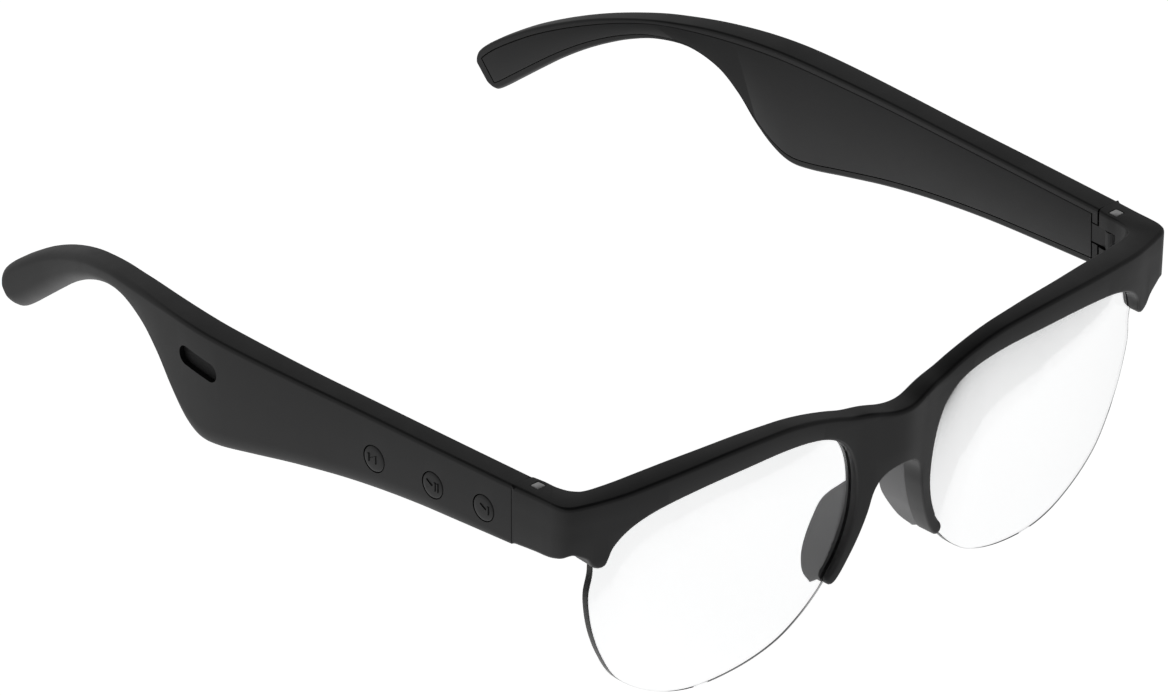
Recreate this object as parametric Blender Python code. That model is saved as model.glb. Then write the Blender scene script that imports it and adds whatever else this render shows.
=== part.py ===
"""Smart glasses: a half-rim front with clear lenses and two folding temples full of electronics.

Lists of outline points are in millimetres and every length constant is in metres through MM.
+X is the wearer's left, -Y is the front and +Z is up. Outlines are drawn from the top of the
temples (z = 0) and the front corners (y = 0); the empty that carries everything then puts the
origin under the middle of the glasses, level with the lenses' lowest point.
"""

import math

import bmesh
import bpy
from mathutils import Vector

MM = 0.001

# Overall sizes
FRONT_WIDTH = 145.5 * MM
TEMPLE_LENGTH = 143.1 * MM

# Clearances
SEAT_GAP = 0.3 * MM
RUNNING_GAP = 0.15 * MM
CUT_OVERRUN = 1.0 * MM

# Front: half widths at which the nose section ends and the end piece begins
NOSE_REACH = 14.0
END_REACH = 62.0
OUTER_REACH = 72.75
TILT = 0.114
TILT_FADE = (66.0, 79.0)
SHOULDER_Y = 12.1 * MM

# Front outline unrolled along the brow (distance from the middle, height), one half
BROW_TOP = [(0, -4.0), (3, -3.8), (7, -2.9), (11, -2.3), (15, -1.1), (20, 0.2), (25, 1.1), (30, 1.5),
            (35, 1.75), (41, 1.75), (48, 1.45), (55, 1.0), (61, 0.5), (67, 0.1), (72, 0), (78, 0)]
BROW_END = [(84, 0), (84, -11.3), (79, -11.0), (75.5, -10.8), (73, -10.3), (71, -9.7), (69.6, -10.3),
            (67.9, -11.4)]
TAB = [(66.8, -13.0), (65.6, -13.7), (64.4, -13.4), (63.8, -12.0)]
BROW_LOWER = [(63.2, -10.2), (61.6, -8.2), (59.3, -6.6), (56, -5.3), (52, -4.4), (47, -3.75), (42, -3.35),
              (36, -3.15), (30, -3.15), (24.5, -3.45), (19.5, -4.2), (16, -5.3), (13.3, -7.0), (11.4, -9.4)]
ARM_LENS_SIDE = [(10, -13), (9.2, -18), (9.25, -23), (10.2, -27.5), (11.8, -31.5), (13.8, -34.8)]
ARM_NOSE_SIDE = [(13.6, -35.9), (12.6, -36.3), (11.3, -35.2), (9.5, -32), (7.8, -28), (6.4, -23.5),
                 (5.5, -19.5), (4.3, -17.3), (2.5, -16.0), (0, -15.5)]

# Plan of the front: distance along the brow, front x and y, rear x and y
BROW_MIDDLE = -11.2
BROW_PLAN = [(-6, -6, -10.1, -6, -5.5), (0, 0, BROW_MIDDLE, 0, -6.4), (6, 6, -10.1, 6, -5.5),
             (10, 10, -9.2, 10, -4.9), (14, 14, -8.75, 14, -4.65), (20, 20, -8.5, 20, -4.4),
             (27, 27, -8.4, 27, -4.05), (35, 35, -8.25, 35, -3.4), (42, 42, -7.75, 42, -2.6),
             (50, 50, -6.8, 50, -1.2), (57, 57, -5.6, 57, 0.1), (62, 62, -4.5, 62, 1.2),
             (66, 66, -3.2, 65.6, 2.4), (69, 69, -2.1, 66.9, 4.0), (71, 70.9, -1.3, 67.35, 5.3),
             (72.5, 72.1, -0.3, 67.52, 6.3), (74, 72.65, 1.4, 67.6, 7.1), (76, 72.78, 3.6, 67.6, 8.0),
             (79, 72.85, 6.6, 67.6, 9.4), (84, 73.05, 11.8, 67.6, 11.8)]
BROW_CUTS = [1.5, 3, 4.5, 6, 7.5, 9, 11, 14, 17, 20, 24, 28, 32, 36, 40, 44, 48, 52, 56, 60, 63,
             66, 68, 69.5, 71, 72, 73, 74, 76, 79]

# Lenses: a shallow bow that leans back with the front, and their edge, upper part first
LENS_FRONT_Y = -7.9
LENS_BOW = 0.00164
LENS_THICKNESS = 1.5 * MM
LENS_EDGE = [(64.9, -13.5), (64.8, -16.2), (65.2, -20.2), (64.6, -24.6), (63.4, -29.1), (61.4, -33.9),
             (58.5, -38.8), (55, -42.1), (50.6, -44.8), (45.9, -46.7), (40.5, -47.6), (34, -47.3),
             (27.8, -46.1), (22.6, -44.1), (18.4, -41.2), (15.2, -38.1), (12.9, -35.2), (10.8, -31.8),
             (9.2, -27.7), (8.25, -23), (8.2, -18), (9.1, -12.7), (10.6, -8.8), (12.7, -6.2),
             (15.6, -4.4), (19.2, -3.2), (24.3, -2.45), (30, -2.15), (36, -2.15), (42, -2.35),
             (47, -2.75), (52, -3.4), (56.4, -4.4), (60, -5.8), (62.4, -7.6), (64.1, -9.9), (64.8, -11.8)]
LENS_CUTS = [14, 20, 26, 32, 38, 44, 50, 56, 61]

# Nose pads: rear edge (y, height) and the arm's middle line they follow (height, x)
PAD_THICKNESS = 1.4 * MM
PAD_REAR = [(-0.5, -19.3), (2.0, -21.8), (4.4, -24.8), (5.6, -28), (6.1, -31), (5.7, -33.8), (4.2, -36),
            (1.4, -37)]
PAD_FRONT = [-36.0, -32, -28, -24, -20, -17]
PAD_CUTS = [-34, -31, -28, -25, -22]
PAD_LINE = [(-36.3, 13.0), (-33.5, 11.7), (-30, 9.9), (-26, 8.5), (-21, 7.5), (-16, 7.2)]

# Hinge
PIN_INSET = 3.1 * MM
PIN_Y = 9.0 * MM
PIN_RADIUS = 0.6 * MM
PIN_HEAD = 1.9 * MM
PIN_HEAD_HEIGHT = 0.6 * MM
PIN_LENGTH = 9.6 * MM
BARREL_RADIUS = 2.0 * MM
EAR_RADIUS = 2.8 * MM
OUTSIDE_EAR = 8.4 * MM
TONGUE_TOP = -3.0 * MM
TONGUE_BOTTOM = -7.1 * MM
TONGUE_INNER = 1.45 * MM
TONGUE_OUTER = 1.15 * MM
FOOT_THICKNESS = 1.5 * MM
FOOT_LENGTH = 2.2 * MM
FOOT_LAP = 0.4 * MM
FOOT_TOP = -2.4 * MM
FOOT_BOTTOM = -9.2 * MM
HINGE_SCREWS = [(1.3, -4.4), (1.0, -8.2)]
SCREW_RADIUS = 0.5 * MM
SCREW_HEAD_RADIUS = 0.8 * MM
SCREW_HEAD_HEIGHT = 0.5 * MM
SCREW_SKIN = 0.45 * MM

# Temples: upper and lower edge seen from the side (y, height), station by station
TEMPLE_TOP = [(12.1, 0), (26, 0), (40, 0), (54, 0), (67, 0), (78, 0), (86, 0), (92.5, 0), (98, -0.1),
              (103, -0.3), (108, -0.65), (113, -1.25), (118, -2.0), (123, -3.1), (128, -4.5),
              (133, -6.3), (138, -8.5), (143, -11.1), (147.5, -13.9), (151.5, -16.7), (154.2, -19.1),
              (155.1, -20.6), (155.2, -22.0)]
TEMPLE_BOTTOM = [(12.1, -11.5), (26, -12.4), (40, -13.4), (53, -14.9), (65, -16.9), (76, -19.2),
                 (84, -20.9), (89, -21.2), (93, -19.4), (96.8, -15.9), (100.2, -11.6), (104.5, -7.7),
                 (110.5, -5.4), (117, -5.6), (122.5, -7.2), (127.5, -9.5), (132, -12.1), (136.5, -15.2),
                 (141, -18.7), (145.5, -22.3), (149.2, -25.2), (150.7, -25.7), (152.6, -25.0)]
# Plan of a temple: drawn y, outer face beyond the half width, thickness
TEMPLE_PLAN = [(12.1, 0.35, 5.0), (30, 0.75, 5.0), (50, 1.1, 5.0), (65, 1.55, 5.2), (80, 1.75, 5.6),
               (90, 1.3, 5.6), (100, -0.25, 5.3), (110, -2.55, 5.0), (120, -5.35, 4.8),
               (130, -8.35, 4.7), (140, -10.85, 4.6), (150, -12.45, 4.4), (155.2, -13.15, 4.0)]
SHOULDER_ROUND = 0.8 * MM
SHOULDER_LENGTH = 1.5
HOOK_START = 8
HOOK_FULL = 13
TEMPLE_STATIONS = [0, 0.5, 1, 1.5, 2, 3, 4, 5, 6, 6.5, 7, 7.5, 8, 8.5, 9, 9.5, 10, 10.5, 11, 11.5, 12,
                   12.5, 13, 14, 15, 16, 17, 18, 19, 20, 21, 22]
LOWER_ROUND = 3.0 * MM
LOWER_FLATNESS = 0.3
UPPER_ROUND = 0.8 * MM
TAIL_ROUND = 1.8 * MM
INNER_ROUND = 0.6 * MM
WALL = 1.0 * MM
RIM = 1.3 * MM
COVER_THICKNESS = 1.0 * MM
CAVITY_INSET = 1.6 * MM
CAVITY_CHAMFER = 0.5 * MM
CAVITY_END = 9.3
SEAT_END = 20.4
COVER_END = 20.25

# Controls and electronics, right temple first: buttons by distance behind the first one, and height
BUTTONS = {"next": (0, -7.0), "play": (12.3, -7.4), "previous": (26.6, -7.9)}
BUTTON_RADIUS = 2.45 * MM
BUTTON_PROUD = 0.1 * MM
BUTTON_FLANGE = 0.4 * MM
BUTTON_FLANGE_RIM = 0.25 * MM
BUTTON_TRAVEL = 0.3 * MM
SWITCH_SIZE = 3.0 * MM
SWITCH_HEIGHT = 0.5 * MM

# Electronics
BOARD_START = 4.7 * MM
BOARD_LENGTH = 33.0 * MM
BOARD_TOP = -2.7 * MM
BOARD_BOTTOM = -9.1 * MM
BOARD_THICKNESS = 0.6 * MM
PART_GAP = 0.2 * MM
MIC_AT = 13.2 * MM
MIC_SIZE = 2.6 * MM
MIC_HEIGHT = 0.7 * MM
MIC_PORT_RADIUS = 0.5 * MM
MIC_PORT_DRILL = 10.0 * MM
BATTERY_TOP = -2.7 * MM
BATTERY_BOTTOM = -12.2 * MM
BATTERY_THICKNESS = 2.5 * MM
BATTERY_GAP = 2.0 * MM
VENT_CENTRE = (89.2, -6.7)
VENT_HALF_LENGTH = 3.35 * MM
VENT_RADIUS = 1.8 * MM
VENT_SLOPE = math.radians(4.5)
MESH_LAP = 0.6 * MM
MESH_THICKNESS = 0.3 * MM
SPEAKER_LENGTH = 12.0 * MM
SPEAKER_HEIGHT = 8.4 * MM
SPEAKER_REST = 0.55 * MM
CONTACTS = [12.0, 17.0]
CONTACT_Z = -6.0 * MM
CONTACT_RADIUS = 1.0 * MM

# Fineness of the shapes, and the least distances that keep their points apart
ROUND_STEPS = 3
ARC_STEPS = 8
LARGEST_ROUND = 0.42
CLOSEST = 0.2
HAIR = 0.001 * MM
BARREL_SIDES = 20
PIN_SIDES = 16
SCREW_SIDES = 12
BUTTON_SIDES = 24

HALF_WIDTH = FRONT_WIDTH / 2
BROW_SCALE = (HALF_WIDTH / MM - (OUTER_REACH - END_REACH) - NOSE_REACH) / (END_REACH - NOSE_REACH)
PIN_X = HALF_WIDTH - PIN_INSET
TEMPLE_SCALE = TEMPLE_LENGTH / MM / (TEMPLE_TOP[-1][0] - TEMPLE_TOP[0][0])
DRAWN_FRONT = TEMPLE_TOP[0][0]
BACK_Y = SHOULDER_Y + TEMPLE_LENGTH
ORIGIN = Vector((0, (BACK_Y + BROW_MIDDLE * MM) / 2, min(z for x, z in LENS_EDGE) * MM))


# ---------------------------------------------------------------- helpers

def material(name, colour, roughness, metallic=0.0, alpha=1.0):
    """A Principled material."""
    found = bpy.data.materials.get(name)
    if found:
        return found
    made = bpy.data.materials.new(name)
    made.use_nodes = True
    shader = made.node_tree.nodes["Principled BSDF"]
    shader.inputs["Base Color"].default_value = (*colour, 1.0)
    shader.inputs["Roughness"].default_value = roughness
    shader.inputs["Metallic"].default_value = metallic
    shader.inputs["Alpha"].default_value = alpha
    return made


def plastic():
    """Matt black moulded nylon."""
    return material("black_plastic", (0.018, 0.018, 0.019), 0.5)


def steel():
    """Bright stainless steel."""
    return material("steel", (0.55, 0.56, 0.58), 0.32, 1.0)


def silicone():
    """Smoky soft silicone."""
    return material("silicone", (0.06, 0.06, 0.065), 0.6)


def clear_lens():
    """Clear lens polymer."""
    return material("lens", (0.97, 0.98, 0.98), 0.04, 0.0, 0.12)


def laminate():
    """Green board laminate."""
    return material("board", (0.02, 0.16, 0.07), 0.45)


def foil():
    """Silvery pouch of a lithium cell."""
    return material("battery_foil", (0.5, 0.51, 0.53), 0.4, 0.8)


def dark_can():
    """Dark moulded case of small electronic parts."""
    return material("component", (0.03, 0.03, 0.035), 0.4)


def cloth():
    """Fine black acoustic mesh."""
    return material("acoustic_mesh", (0.012, 0.012, 0.012), 0.8)


def gold():
    """Gold plating."""
    return material("gold", (0.83, 0.62, 0.25), 0.25, 1.0)


def finish(bm, name, look, origin, parent, smooth=True):
    """Turn a bmesh in glasses coordinates into an object with its own origin under a parent."""
    bmesh.ops.recalc_face_normals(bm, faces=bm.faces)
    for vert in bm.verts:
        vert.co -= origin
    mesh = bpy.data.meshes.new(name)
    bm.to_mesh(mesh)
    bm.free()
    if smooth:
        mesh.shade_smooth()
        mesh.set_sharp_from_angle(angle=math.radians(30))
    obj = bpy.data.objects.new(name, mesh)
    bpy.context.collection.objects.link(obj)
    if look:
        mesh.materials.append(look)
    if parent:
        obj.parent = parent
        obj.location = origin - Vector(parent["at"])
    return obj


def anchor(name, at, parent=None):
    """An empty that marks a reference point or a joint axis, its place kept in glasses coordinates."""
    empty = bpy.data.objects.new(name, None)
    empty.empty_display_size = 0.01
    bpy.context.collection.objects.link(empty)
    if parent:
        empty.parent = parent
        empty.location = Vector(at) - Vector(parent["at"])
    empty["at"] = Vector(at)
    return empty


def cut(obj, cutter):
    """Take a cutter out of an object and hide the cutter."""
    cutter.hide_render = True
    cutter.display_type = "WIRE"
    boolean = obj.modifiers.new(cutter.name, "BOOLEAN")
    boolean.operation = "DIFFERENCE"
    boolean.solver = "EXACT"
    boolean.object = cutter


def graph(rows, at, column):
    """Read a column of a table at a place in its first column, on a smooth curve."""
    last = len(rows) - 1
    low = 0
    while low < last - 1 and rows[low + 1][0] <= at:
        low += 1
    span = rows[low + 1][0] - rows[low][0]

    def slope(i):
        before, after = max(i - 1, 0), min(i + 1, last)
        return (rows[after][column] - rows[before][column]) / (rows[after][0] - rows[before][0])

    t = (at - rows[low][0]) / span
    a, b = rows[low][column], rows[low + 1][column]
    tangent_a, tangent_b = slope(low) * span, slope(low + 1) * span
    return (a * (1 + 2 * t) * (1 - t) ** 2 + tangent_a * t * (1 - t) ** 2
            + b * t * t * (3 - 2 * t) - tangent_b * t * t * (1 - t))


def along(points, t):
    """The point at station t on a smooth curve through points."""
    rows = [(i, *point) for i, point in enumerate(points)]
    return graph(rows, t, 1), graph(rows, t, 2)


def loft(rings):
    """A closed solid through rings of the same number of points."""
    bm = bmesh.new()
    made = [[bm.verts.new(point) for point in ring] for ring in rings]
    count = len(rings[0])
    for near, far in zip(made, made[1:]):
        for i in range(count):
            j = (i + 1) % count
            bm.faces.new((near[i], near[j], far[j], far[i]))
    bm.faces.new(made[0])
    bm.faces.new(made[-1])
    return bm


def plate(outline, cuts, front, rear):
    """A closed outline in x and z, sliced at the cuts and given a front and a rear surface."""
    bm = bmesh.new()
    bm.faces.new([bm.verts.new((x, 0, z)) for x, z in outline])
    for place in cuts:
        everything = bm.verts[:] + bm.edges[:] + bm.faces[:]
        bmesh.ops.bisect_plane(bm, geom=everything, plane_co=place[0], plane_no=place[1], dist=1e-6)
    bmesh.ops.triangulate(bm, faces=bm.faces[:])
    flat_verts, flat_faces = bm.verts[:], bm.faces[:]
    rim = [edge for edge in bm.edges if edge.is_boundary]
    twin = {vert: bm.verts.new(rear(vert.co.x, vert.co.z)) for vert in flat_verts}
    for face in flat_faces:
        bm.faces.new([twin[vert] for vert in reversed(face.verts)])
    for edge in rim:
        a, b = edge.verts
        bm.faces.new((a, b, twin[b], twin[a]))
    for vert in flat_verts:
        vert.co = front(vert.co.x, vert.co.z)
    return bm


def x_cuts(places):
    """Slicing planes across x."""
    return [((x, 0, 0), (1, 0, 0)) for x in places]


def turned(profile, centre, axis, sides):
    """A solid turned round an axis from (distance along it, radius) points; its ends are flat."""
    axis = Vector(axis)
    across = axis.orthogonal().normalized()
    up = axis.cross(across)
    turns = [2 * math.pi * i / sides for i in range(sides)]
    spokes = [across * math.cos(turn) + up * math.sin(turn) for turn in turns]
    return loft([[Vector(centre) + axis * reach + spoke * radius for spoke in spokes]
                 for reach, radius in profile])


def box(low, high):
    """A box between two corners."""
    rings = [[(x, low[1], low[2]), (x, high[1], low[2]), (x, high[1], high[2]), (x, low[1], high[2])]
             for x in (low[0], high[0])]
    return loft(rings)


def mirrored(bm, side):
    """Put a bmesh made for the wearer's left on the wanted side."""
    for vert in bm.verts:
        vert.co.x *= side
    return bm


# ---------------------------------------------------------------- front

def spread(x):
    """Drawn half width to real half width in metres: only the stretch over the lens grows."""
    reach = abs(x)
    lens = min(max(reach - NOSE_REACH, 0), END_REACH - NOSE_REACH)
    real = min(reach, NOSE_REACH) + lens * BROW_SCALE + max(reach - END_REACH, 0)
    return math.copysign(real * MM, x)


def lean(at, z):
    """How far the front leans back at a height, fading out round the end pieces."""
    start, end = TILT_FADE
    share = min(max((end - abs(at)) / (end - start), 0), 1)
    return -TILT * z * share


def brow_point(at, z, column):
    """A point of the front's face (column 1) or rear (column 3), by distance along the brow."""
    x = graph(BROW_PLAN, abs(at), column)
    y = graph(BROW_PLAN, abs(at), column + 1) + lean(at, z)
    return Vector((spread(math.copysign(x, at)), y * MM, z * MM))


def brow_face(at, z):
    """The front face."""
    return brow_point(at, z, 1)


def brow_rear(at, z):
    """The rear face."""
    return brow_point(at, z, 3)


def lens_surface(depth):
    """A surface of a lens, or of its groove, at a depth behind the lens's face."""
    def surface(x, z):
        y = LENS_FRONT_Y + LENS_BOW * x * x - TILT * z
        return Vector((spread(x), y * MM + depth, z * MM))
    return surface


def grown(outline, by):
    """A closed outline moved outwards."""
    count = len(outline)
    moved = []
    for i, (x, z) in enumerate(outline):
        before, after = outline[i - 1], outline[(i + 1) % count]
        run, rise = after[0] - before[0], after[1] - before[1]
        length = math.hypot(run, rise)
        moved.append((x + by * rise / length, z - by * run / length))
    return moved


def lens_outline(side):
    """A lens's edge, running so that outwards is to its right on either side."""
    outline = [(x * side, z) for x, z in LENS_EDGE]
    return outline if side < 0 else outline[::-1]


def front_frame(parent):
    """The one-piece front: brow, bridge, nose arms, tabs and end pieces with the hinge ears."""
    half = BROW_TOP + BROW_END + TAB + BROW_LOWER + ARM_LENS_SIDE + ARM_NOSE_SIDE
    outline = half + [(-x, z) for x, z in reversed(half) if x]
    places = [-at for at in BROW_CUTS] + [0] + BROW_CUTS
    shape = plate(outline, x_cuts(places), brow_face, brow_rear)
    frame = finish(shape, "front_frame", plastic(), Vector(), parent)
    for side, word in ((1, "left"), (-1, "right")):
        groove = plate(grown(lens_outline(side), SEAT_GAP / MM), x_cuts([x * side for x in LENS_CUTS]),
                       lens_surface(-SEAT_GAP), lens_surface(LENS_THICKNESS + SEAT_GAP))
        cut(frame, finish(groove, "lens_groove_" + word, None, Vector(), parent))
        pocket = mirrored(hinge_pocket(), side)
        cut(frame, finish(pocket, "hinge_pocket_" + word, None, Vector(), parent))
        corner = mirrored(ear_corner(), side)
        cut(frame, finish(corner, "ear_corner_" + word, None, Vector(), parent))
        hole = mirrored(pin_shape(RUNNING_GAP), side)
        cut(frame, finish(hole, "pin_hole_" + word, None, Vector(), parent))
    return frame


def arc(centre, radius, start, end, steps):
    """Points of an arc in plan, angles in degrees."""
    angles = [math.radians(start + (end - start) * i / steps) for i in range(steps + 1)]
    return [(centre[0] + radius * math.cos(a), centre[1] + radius * math.sin(a)) for a in angles]


def prism(plan, low, high):
    """A plan outline given a height."""
    return loft([[(x, y, z) for x, y in plan] for z in (low, high)])


def hinge_pocket():
    """The space between the ears for the hinge barrel, open behind and inside for its tongue."""
    reach = BARREL_RADIUS + SEAT_GAP
    centre = (PIN_X, PIN_Y)
    far = OUTSIDE_EAR
    outer = PIN_X + TONGUE_OUTER + SEAT_GAP
    inner = PIN_Y - TONGUE_INNER - SEAT_GAP
    turn_out = math.degrees(math.acos((TONGUE_OUTER + SEAT_GAP) / reach))
    turn_in = 180 + math.degrees(math.asin((TONGUE_INNER + SEAT_GAP) / reach))
    plan = arc(centre, reach, turn_out, turn_in - 360, BARREL_SIDES)
    plan += [(PIN_X - far, inner), (PIN_X - far, PIN_Y + far), (outer, PIN_Y + far)]
    return prism(plan, TONGUE_BOTTOM, TONGUE_TOP)


def ear_corner():
    """What is taken off the ears' inner rear corner so that the temple's shoulder can swing past."""
    far = OUTSIDE_EAR
    plan = arc((PIN_X, PIN_Y), EAR_RADIUS, 90, 180, ARC_STEPS)
    plan += [(PIN_X - far, PIN_Y), (PIN_X - far, PIN_Y + far), (PIN_X, PIN_Y + far)]
    return prism(plan, -OUTSIDE_EAR - PIN_LENGTH, CUT_OVERRUN)


def pin_shape(gap):
    """The hinge pin, or with a gap its hole: a square head over a round shaft."""
    half = PIN_HEAD / 2 + gap
    top = CUT_OVERRUN if gap else 0
    ring = [math.radians(45 + 360 * i / PIN_SIDES) for i in range(PIN_SIDES)]
    shaft = [(PIN_X + (PIN_RADIUS + gap) * math.cos(a), PIN_Y + (PIN_RADIUS + gap) * math.sin(a))
             for a in ring]
    reach = [half / max(abs(math.cos(a)), abs(math.sin(a))) for a in ring]
    head = [(PIN_X + r * math.cos(a), PIN_Y + r * math.sin(a)) for r, a in zip(reach, ring)]
    neck = -PIN_HEAD_HEIGHT - gap
    levels = [(-PIN_LENGTH - 2 * gap, shaft), (neck, shaft), (neck, head), (top, head)]
    return loft([[(x, y, z) for x, y in plan] for z, plan in levels])


def lenses(parent):
    """The two clear lenses."""
    for side, word in ((1, "left"), (-1, "right")):
        shape = plate(lens_outline(side), x_cuts([x * side for x in LENS_CUTS]),
                      lens_surface(0), lens_surface(LENS_THICKNESS))
        finish(shape, "lens_" + word, clear_lens(), Vector(), parent)


def nose_pads(parent):
    """The soft nose pads behind the nose arms."""
    front_edge = [(brow_rear(graph(PAD_LINE, z, 1), z).y / MM + SEAT_GAP / MM, z) for z in PAD_FRONT]
    cuts = [((0, 0, z), (0, 0, 1)) for z in PAD_CUTS]

    def pad_side(side, offset):
        return lambda y, z: Vector((side * (graph(PAD_LINE, z, 1) * MM + offset), y * MM, z * MM))

    for side, word in ((1, "left"), (-1, "right")):
        shape = plate(PAD_REAR + front_edge, cuts, pad_side(side, -PAD_THICKNESS / 2),
                      pad_side(side, PAD_THICKNESS / 2))
        finish(shape, "nose_pad_" + word, silicone(), Vector(), parent)


# ---------------------------------------------------------------- temples

def real_y(drawn):
    """Drawn distance back to real distance back, in metres."""
    return SHOULDER_Y + (drawn - DRAWN_FRONT) * TEMPLE_SCALE * MM


def drawn_y(y):
    """Real distance back, in metres, to drawn distance back."""
    return DRAWN_FRONT + (y - SHOULDER_Y) / MM / TEMPLE_SCALE


def outer_x(y):
    """The temple's outer face in plan."""
    return HALF_WIDTH + graph(TEMPLE_PLAN, drawn_y(y), 1) * MM


def thickness(y):
    """The temple's thickness in plan."""
    return graph(TEMPLE_PLAN, drawn_y(y), 2) * MM


def spot(station, level, depth, from_inside=False):
    """A point of the temple at a height over its lower edge and a depth under its outer face.

    A negative level counts down from the upper edge; from_inside counts the depth outwards from
    the inner face.
    """
    top = along(TEMPLE_TOP, station)
    bottom = along(TEMPLE_BOTTOM, station)
    start = Vector((real_y(bottom[0]), bottom[1] * MM))
    rise = Vector((real_y(top[0]), top[1] * MM)) - start
    height = level if level >= 0 else rise.length + level
    y, z = start + rise * (height / rise.length)
    if from_inside:
        depth = thickness(y) - depth
    return Vector((outer_x(y) - depth, y, z))


def corner(station, upper, inside, radius, flatness=1.0):
    """The points of one rounded corner of the temple's section, running round from -x to +x."""
    points = []
    for i in range(ROUND_STEPS + 1):
        angle = math.pi / 2 * i / ROUND_STEPS
        off_face = flatness * radius * (1 - math.sin(angle))
        off_edge = radius * (1 - math.cos(angle))
        points.append(spot(station, -max(off_edge, HAIR) if upper else off_edge, off_face, inside))
    return points


def shell_ring(station):
    """The outside of the shell at a station, with the rim's two edges on its inner face."""
    height = spot(station, -HAIR, 0) - spot(station, 0, 0)
    limit = LARGEST_ROUND * height.length
    lower, upper, inner = [min(radius, limit) for radius in shell_rounds(station)]
    flatness = LOWER_FLATNESS + (1 - LOWER_FLATNESS) * hook_share(station)
    return (corner(station, False, False, lower, flatness) + corner(station, True, False, upper)[::-1]
            + corner(station, True, True, inner)
            + [spot(station, -RIM, 0, True), spot(station, RIM, 0, True)]
            + corner(station, False, True, inner)[::-1])


def seat_ring(station):
    """The cover's seat at a station: its floor, with the cavity's edges on it."""
    depth = COVER_THICKNESS + SEAT_GAP
    return [spot(station, -RIM, depth, True), spot(station, -CAVITY_INSET, depth, True),
            spot(station, CAVITY_INSET, depth, True), spot(station, RIM, depth, True)]


def cavity_ring(station):
    """The bottom of the cavity at a station, chamfered inside the shell's soft lower corner."""
    return [spot(station, -CAVITY_INSET, WALL), spot(station, CAVITY_INSET + CAVITY_CHAMFER, WALL),
            spot(station, CAVITY_INSET, WALL + CAVITY_CHAMFER)]


def tray(start, cavity_end, seat_end):
    """The shell: a closed loft with a seat let into its inner face and a cavity let into the seat."""
    bm = bmesh.new()
    stations = [0] + [s for s in stations_between(start, seat_end) if abs(s - cavity_end) > CLOSEST]
    stations = sorted(stations + [cavity_end]) + [s for s in TEMPLE_STATIONS if s > seat_end + CLOSEST]
    rings, seats, cavities = [], [], []
    for station in stations:
        rings.append([bm.verts.new(point) for point in shell_ring(station)])
        seated = start <= station <= seat_end
        seats.append([bm.verts.new(point) for point in seat_ring(station)] if seated else None)
        deep = start <= station <= cavity_end
        cavities.append([bm.verts.new(point) for point in cavity_ring(station)] if deep else None)
    rim = 3 * (ROUND_STEPS + 1)

    def strip(near, far):
        for a, b, c, d in zip(near, near[1:], far[1:], far):
            bm.faces.new((a, b, c, d))

    for k in range(len(stations) - 1):
        ring, after = rings[k], rings[k + 1]
        seat, seat_after = seats[k], seats[k + 1]
        cavity, cavity_after = cavities[k], cavities[k + 1]
        strip(ring[rim + 1:] + ring[:rim + 1], after[rim + 1:] + after[:rim + 1])
        if not (seat and seat_after):
            strip(ring[rim:rim + 2], after[rim:rim + 2])
            continue
        strip([ring[rim]] + seat[:2], [after[rim]] + seat_after[:2])
        strip(seat[2:] + [ring[rim + 1]], seat_after[2:] + [after[rim + 1]])
        if cavity and cavity_after:
            strip([seat[1]] + cavity + [seat[2]], [seat_after[1]] + cavity_after + [seat_after[2]])
        else:
            strip(seat[1:3], seat_after[1:3])
    bm.faces.new(rings[0])
    bm.faces.new(rings[-1])
    ends = [k for k, seat in enumerate(seats) if seat]
    for k in (ends[0], ends[-1]):
        bm.faces.new([rings[k][rim], *seats[k], rings[k][rim + 1]])
    ends = [k for k, cavity in enumerate(cavities) if cavity]
    for k in (ends[0], ends[-1]):
        bm.faces.new([seats[k][1], *cavities[k], seats[k][2]])
    return bm


def hook_share(station):
    """How far the section has turned from the temple's into the ear hook's, from 0 to 1."""
    return min(max((station - HOOK_START) / (HOOK_FULL - HOOK_START), 0), 1)


def shell_rounds(station):
    """Radii at the lower outer, upper outer and inner corners: the lower one is small at the shoulder,
    the upper one grows softer on the ear hook."""
    lower = SHOULDER_ROUND + (LOWER_ROUND - SHOULDER_ROUND) * min(station / SHOULDER_LENGTH, 1)
    return lower, UPPER_ROUND + (TAIL_ROUND - UPPER_ROUND) * hook_share(station), INNER_ROUND


def stations_between(start, end):
    """The temple's stations from one place to another."""
    return [start] + [s for s in TEMPLE_STATIONS if start + CLOSEST < s < end - CLOSEST] + [end]


def front_station(distance):
    """The station at a distance behind the temple's front end, on its first straight stretch."""
    return distance / MM / TEMPLE_SCALE / (TEMPLE_TOP[1][0] - TEMPLE_TOP[0][0])


def fitted_box(y_low, y_high, z_low, z_high, shallow, deep):
    """A box that follows the outer face, between two depths under it."""
    rings = []
    for y in (y_low, y_high):
        near, far = outer_x(y) - shallow, outer_x(y) - deep
        rings.append([(near, y, z_low), (far, y, z_low), (far, y, z_high), (near, y, z_high)])
    return loft(rings)


def fitted_pin(profile, y, z, sides):
    """A turned solid across the temple, its profile measured in from the outer face."""
    return turned(profile, (outer_x(y), y, z), (-1, 0, 0), sides)


def capsule(radius, shallow, deep):
    """A plate with round ends over the vent, between two depths."""
    y, z = real_y(VENT_CENTRE[0]), VENT_CENTRE[1] * MM
    half = VENT_HALF_LENGTH
    points = arc((half, 0), radius, -90, 90, ARC_STEPS) + arc((-half, 0), radius, 90, 270, ARC_STEPS)
    turn = VENT_SLOPE
    plan = [(y + p * math.cos(turn) - q * math.sin(turn), z + p * math.sin(turn) + q * math.cos(turn))
            for p, q in points]
    return loft([[(outer_x(py) - depth, py, pz) for py, pz in plan] for depth in (shallow, deep)])


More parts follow.
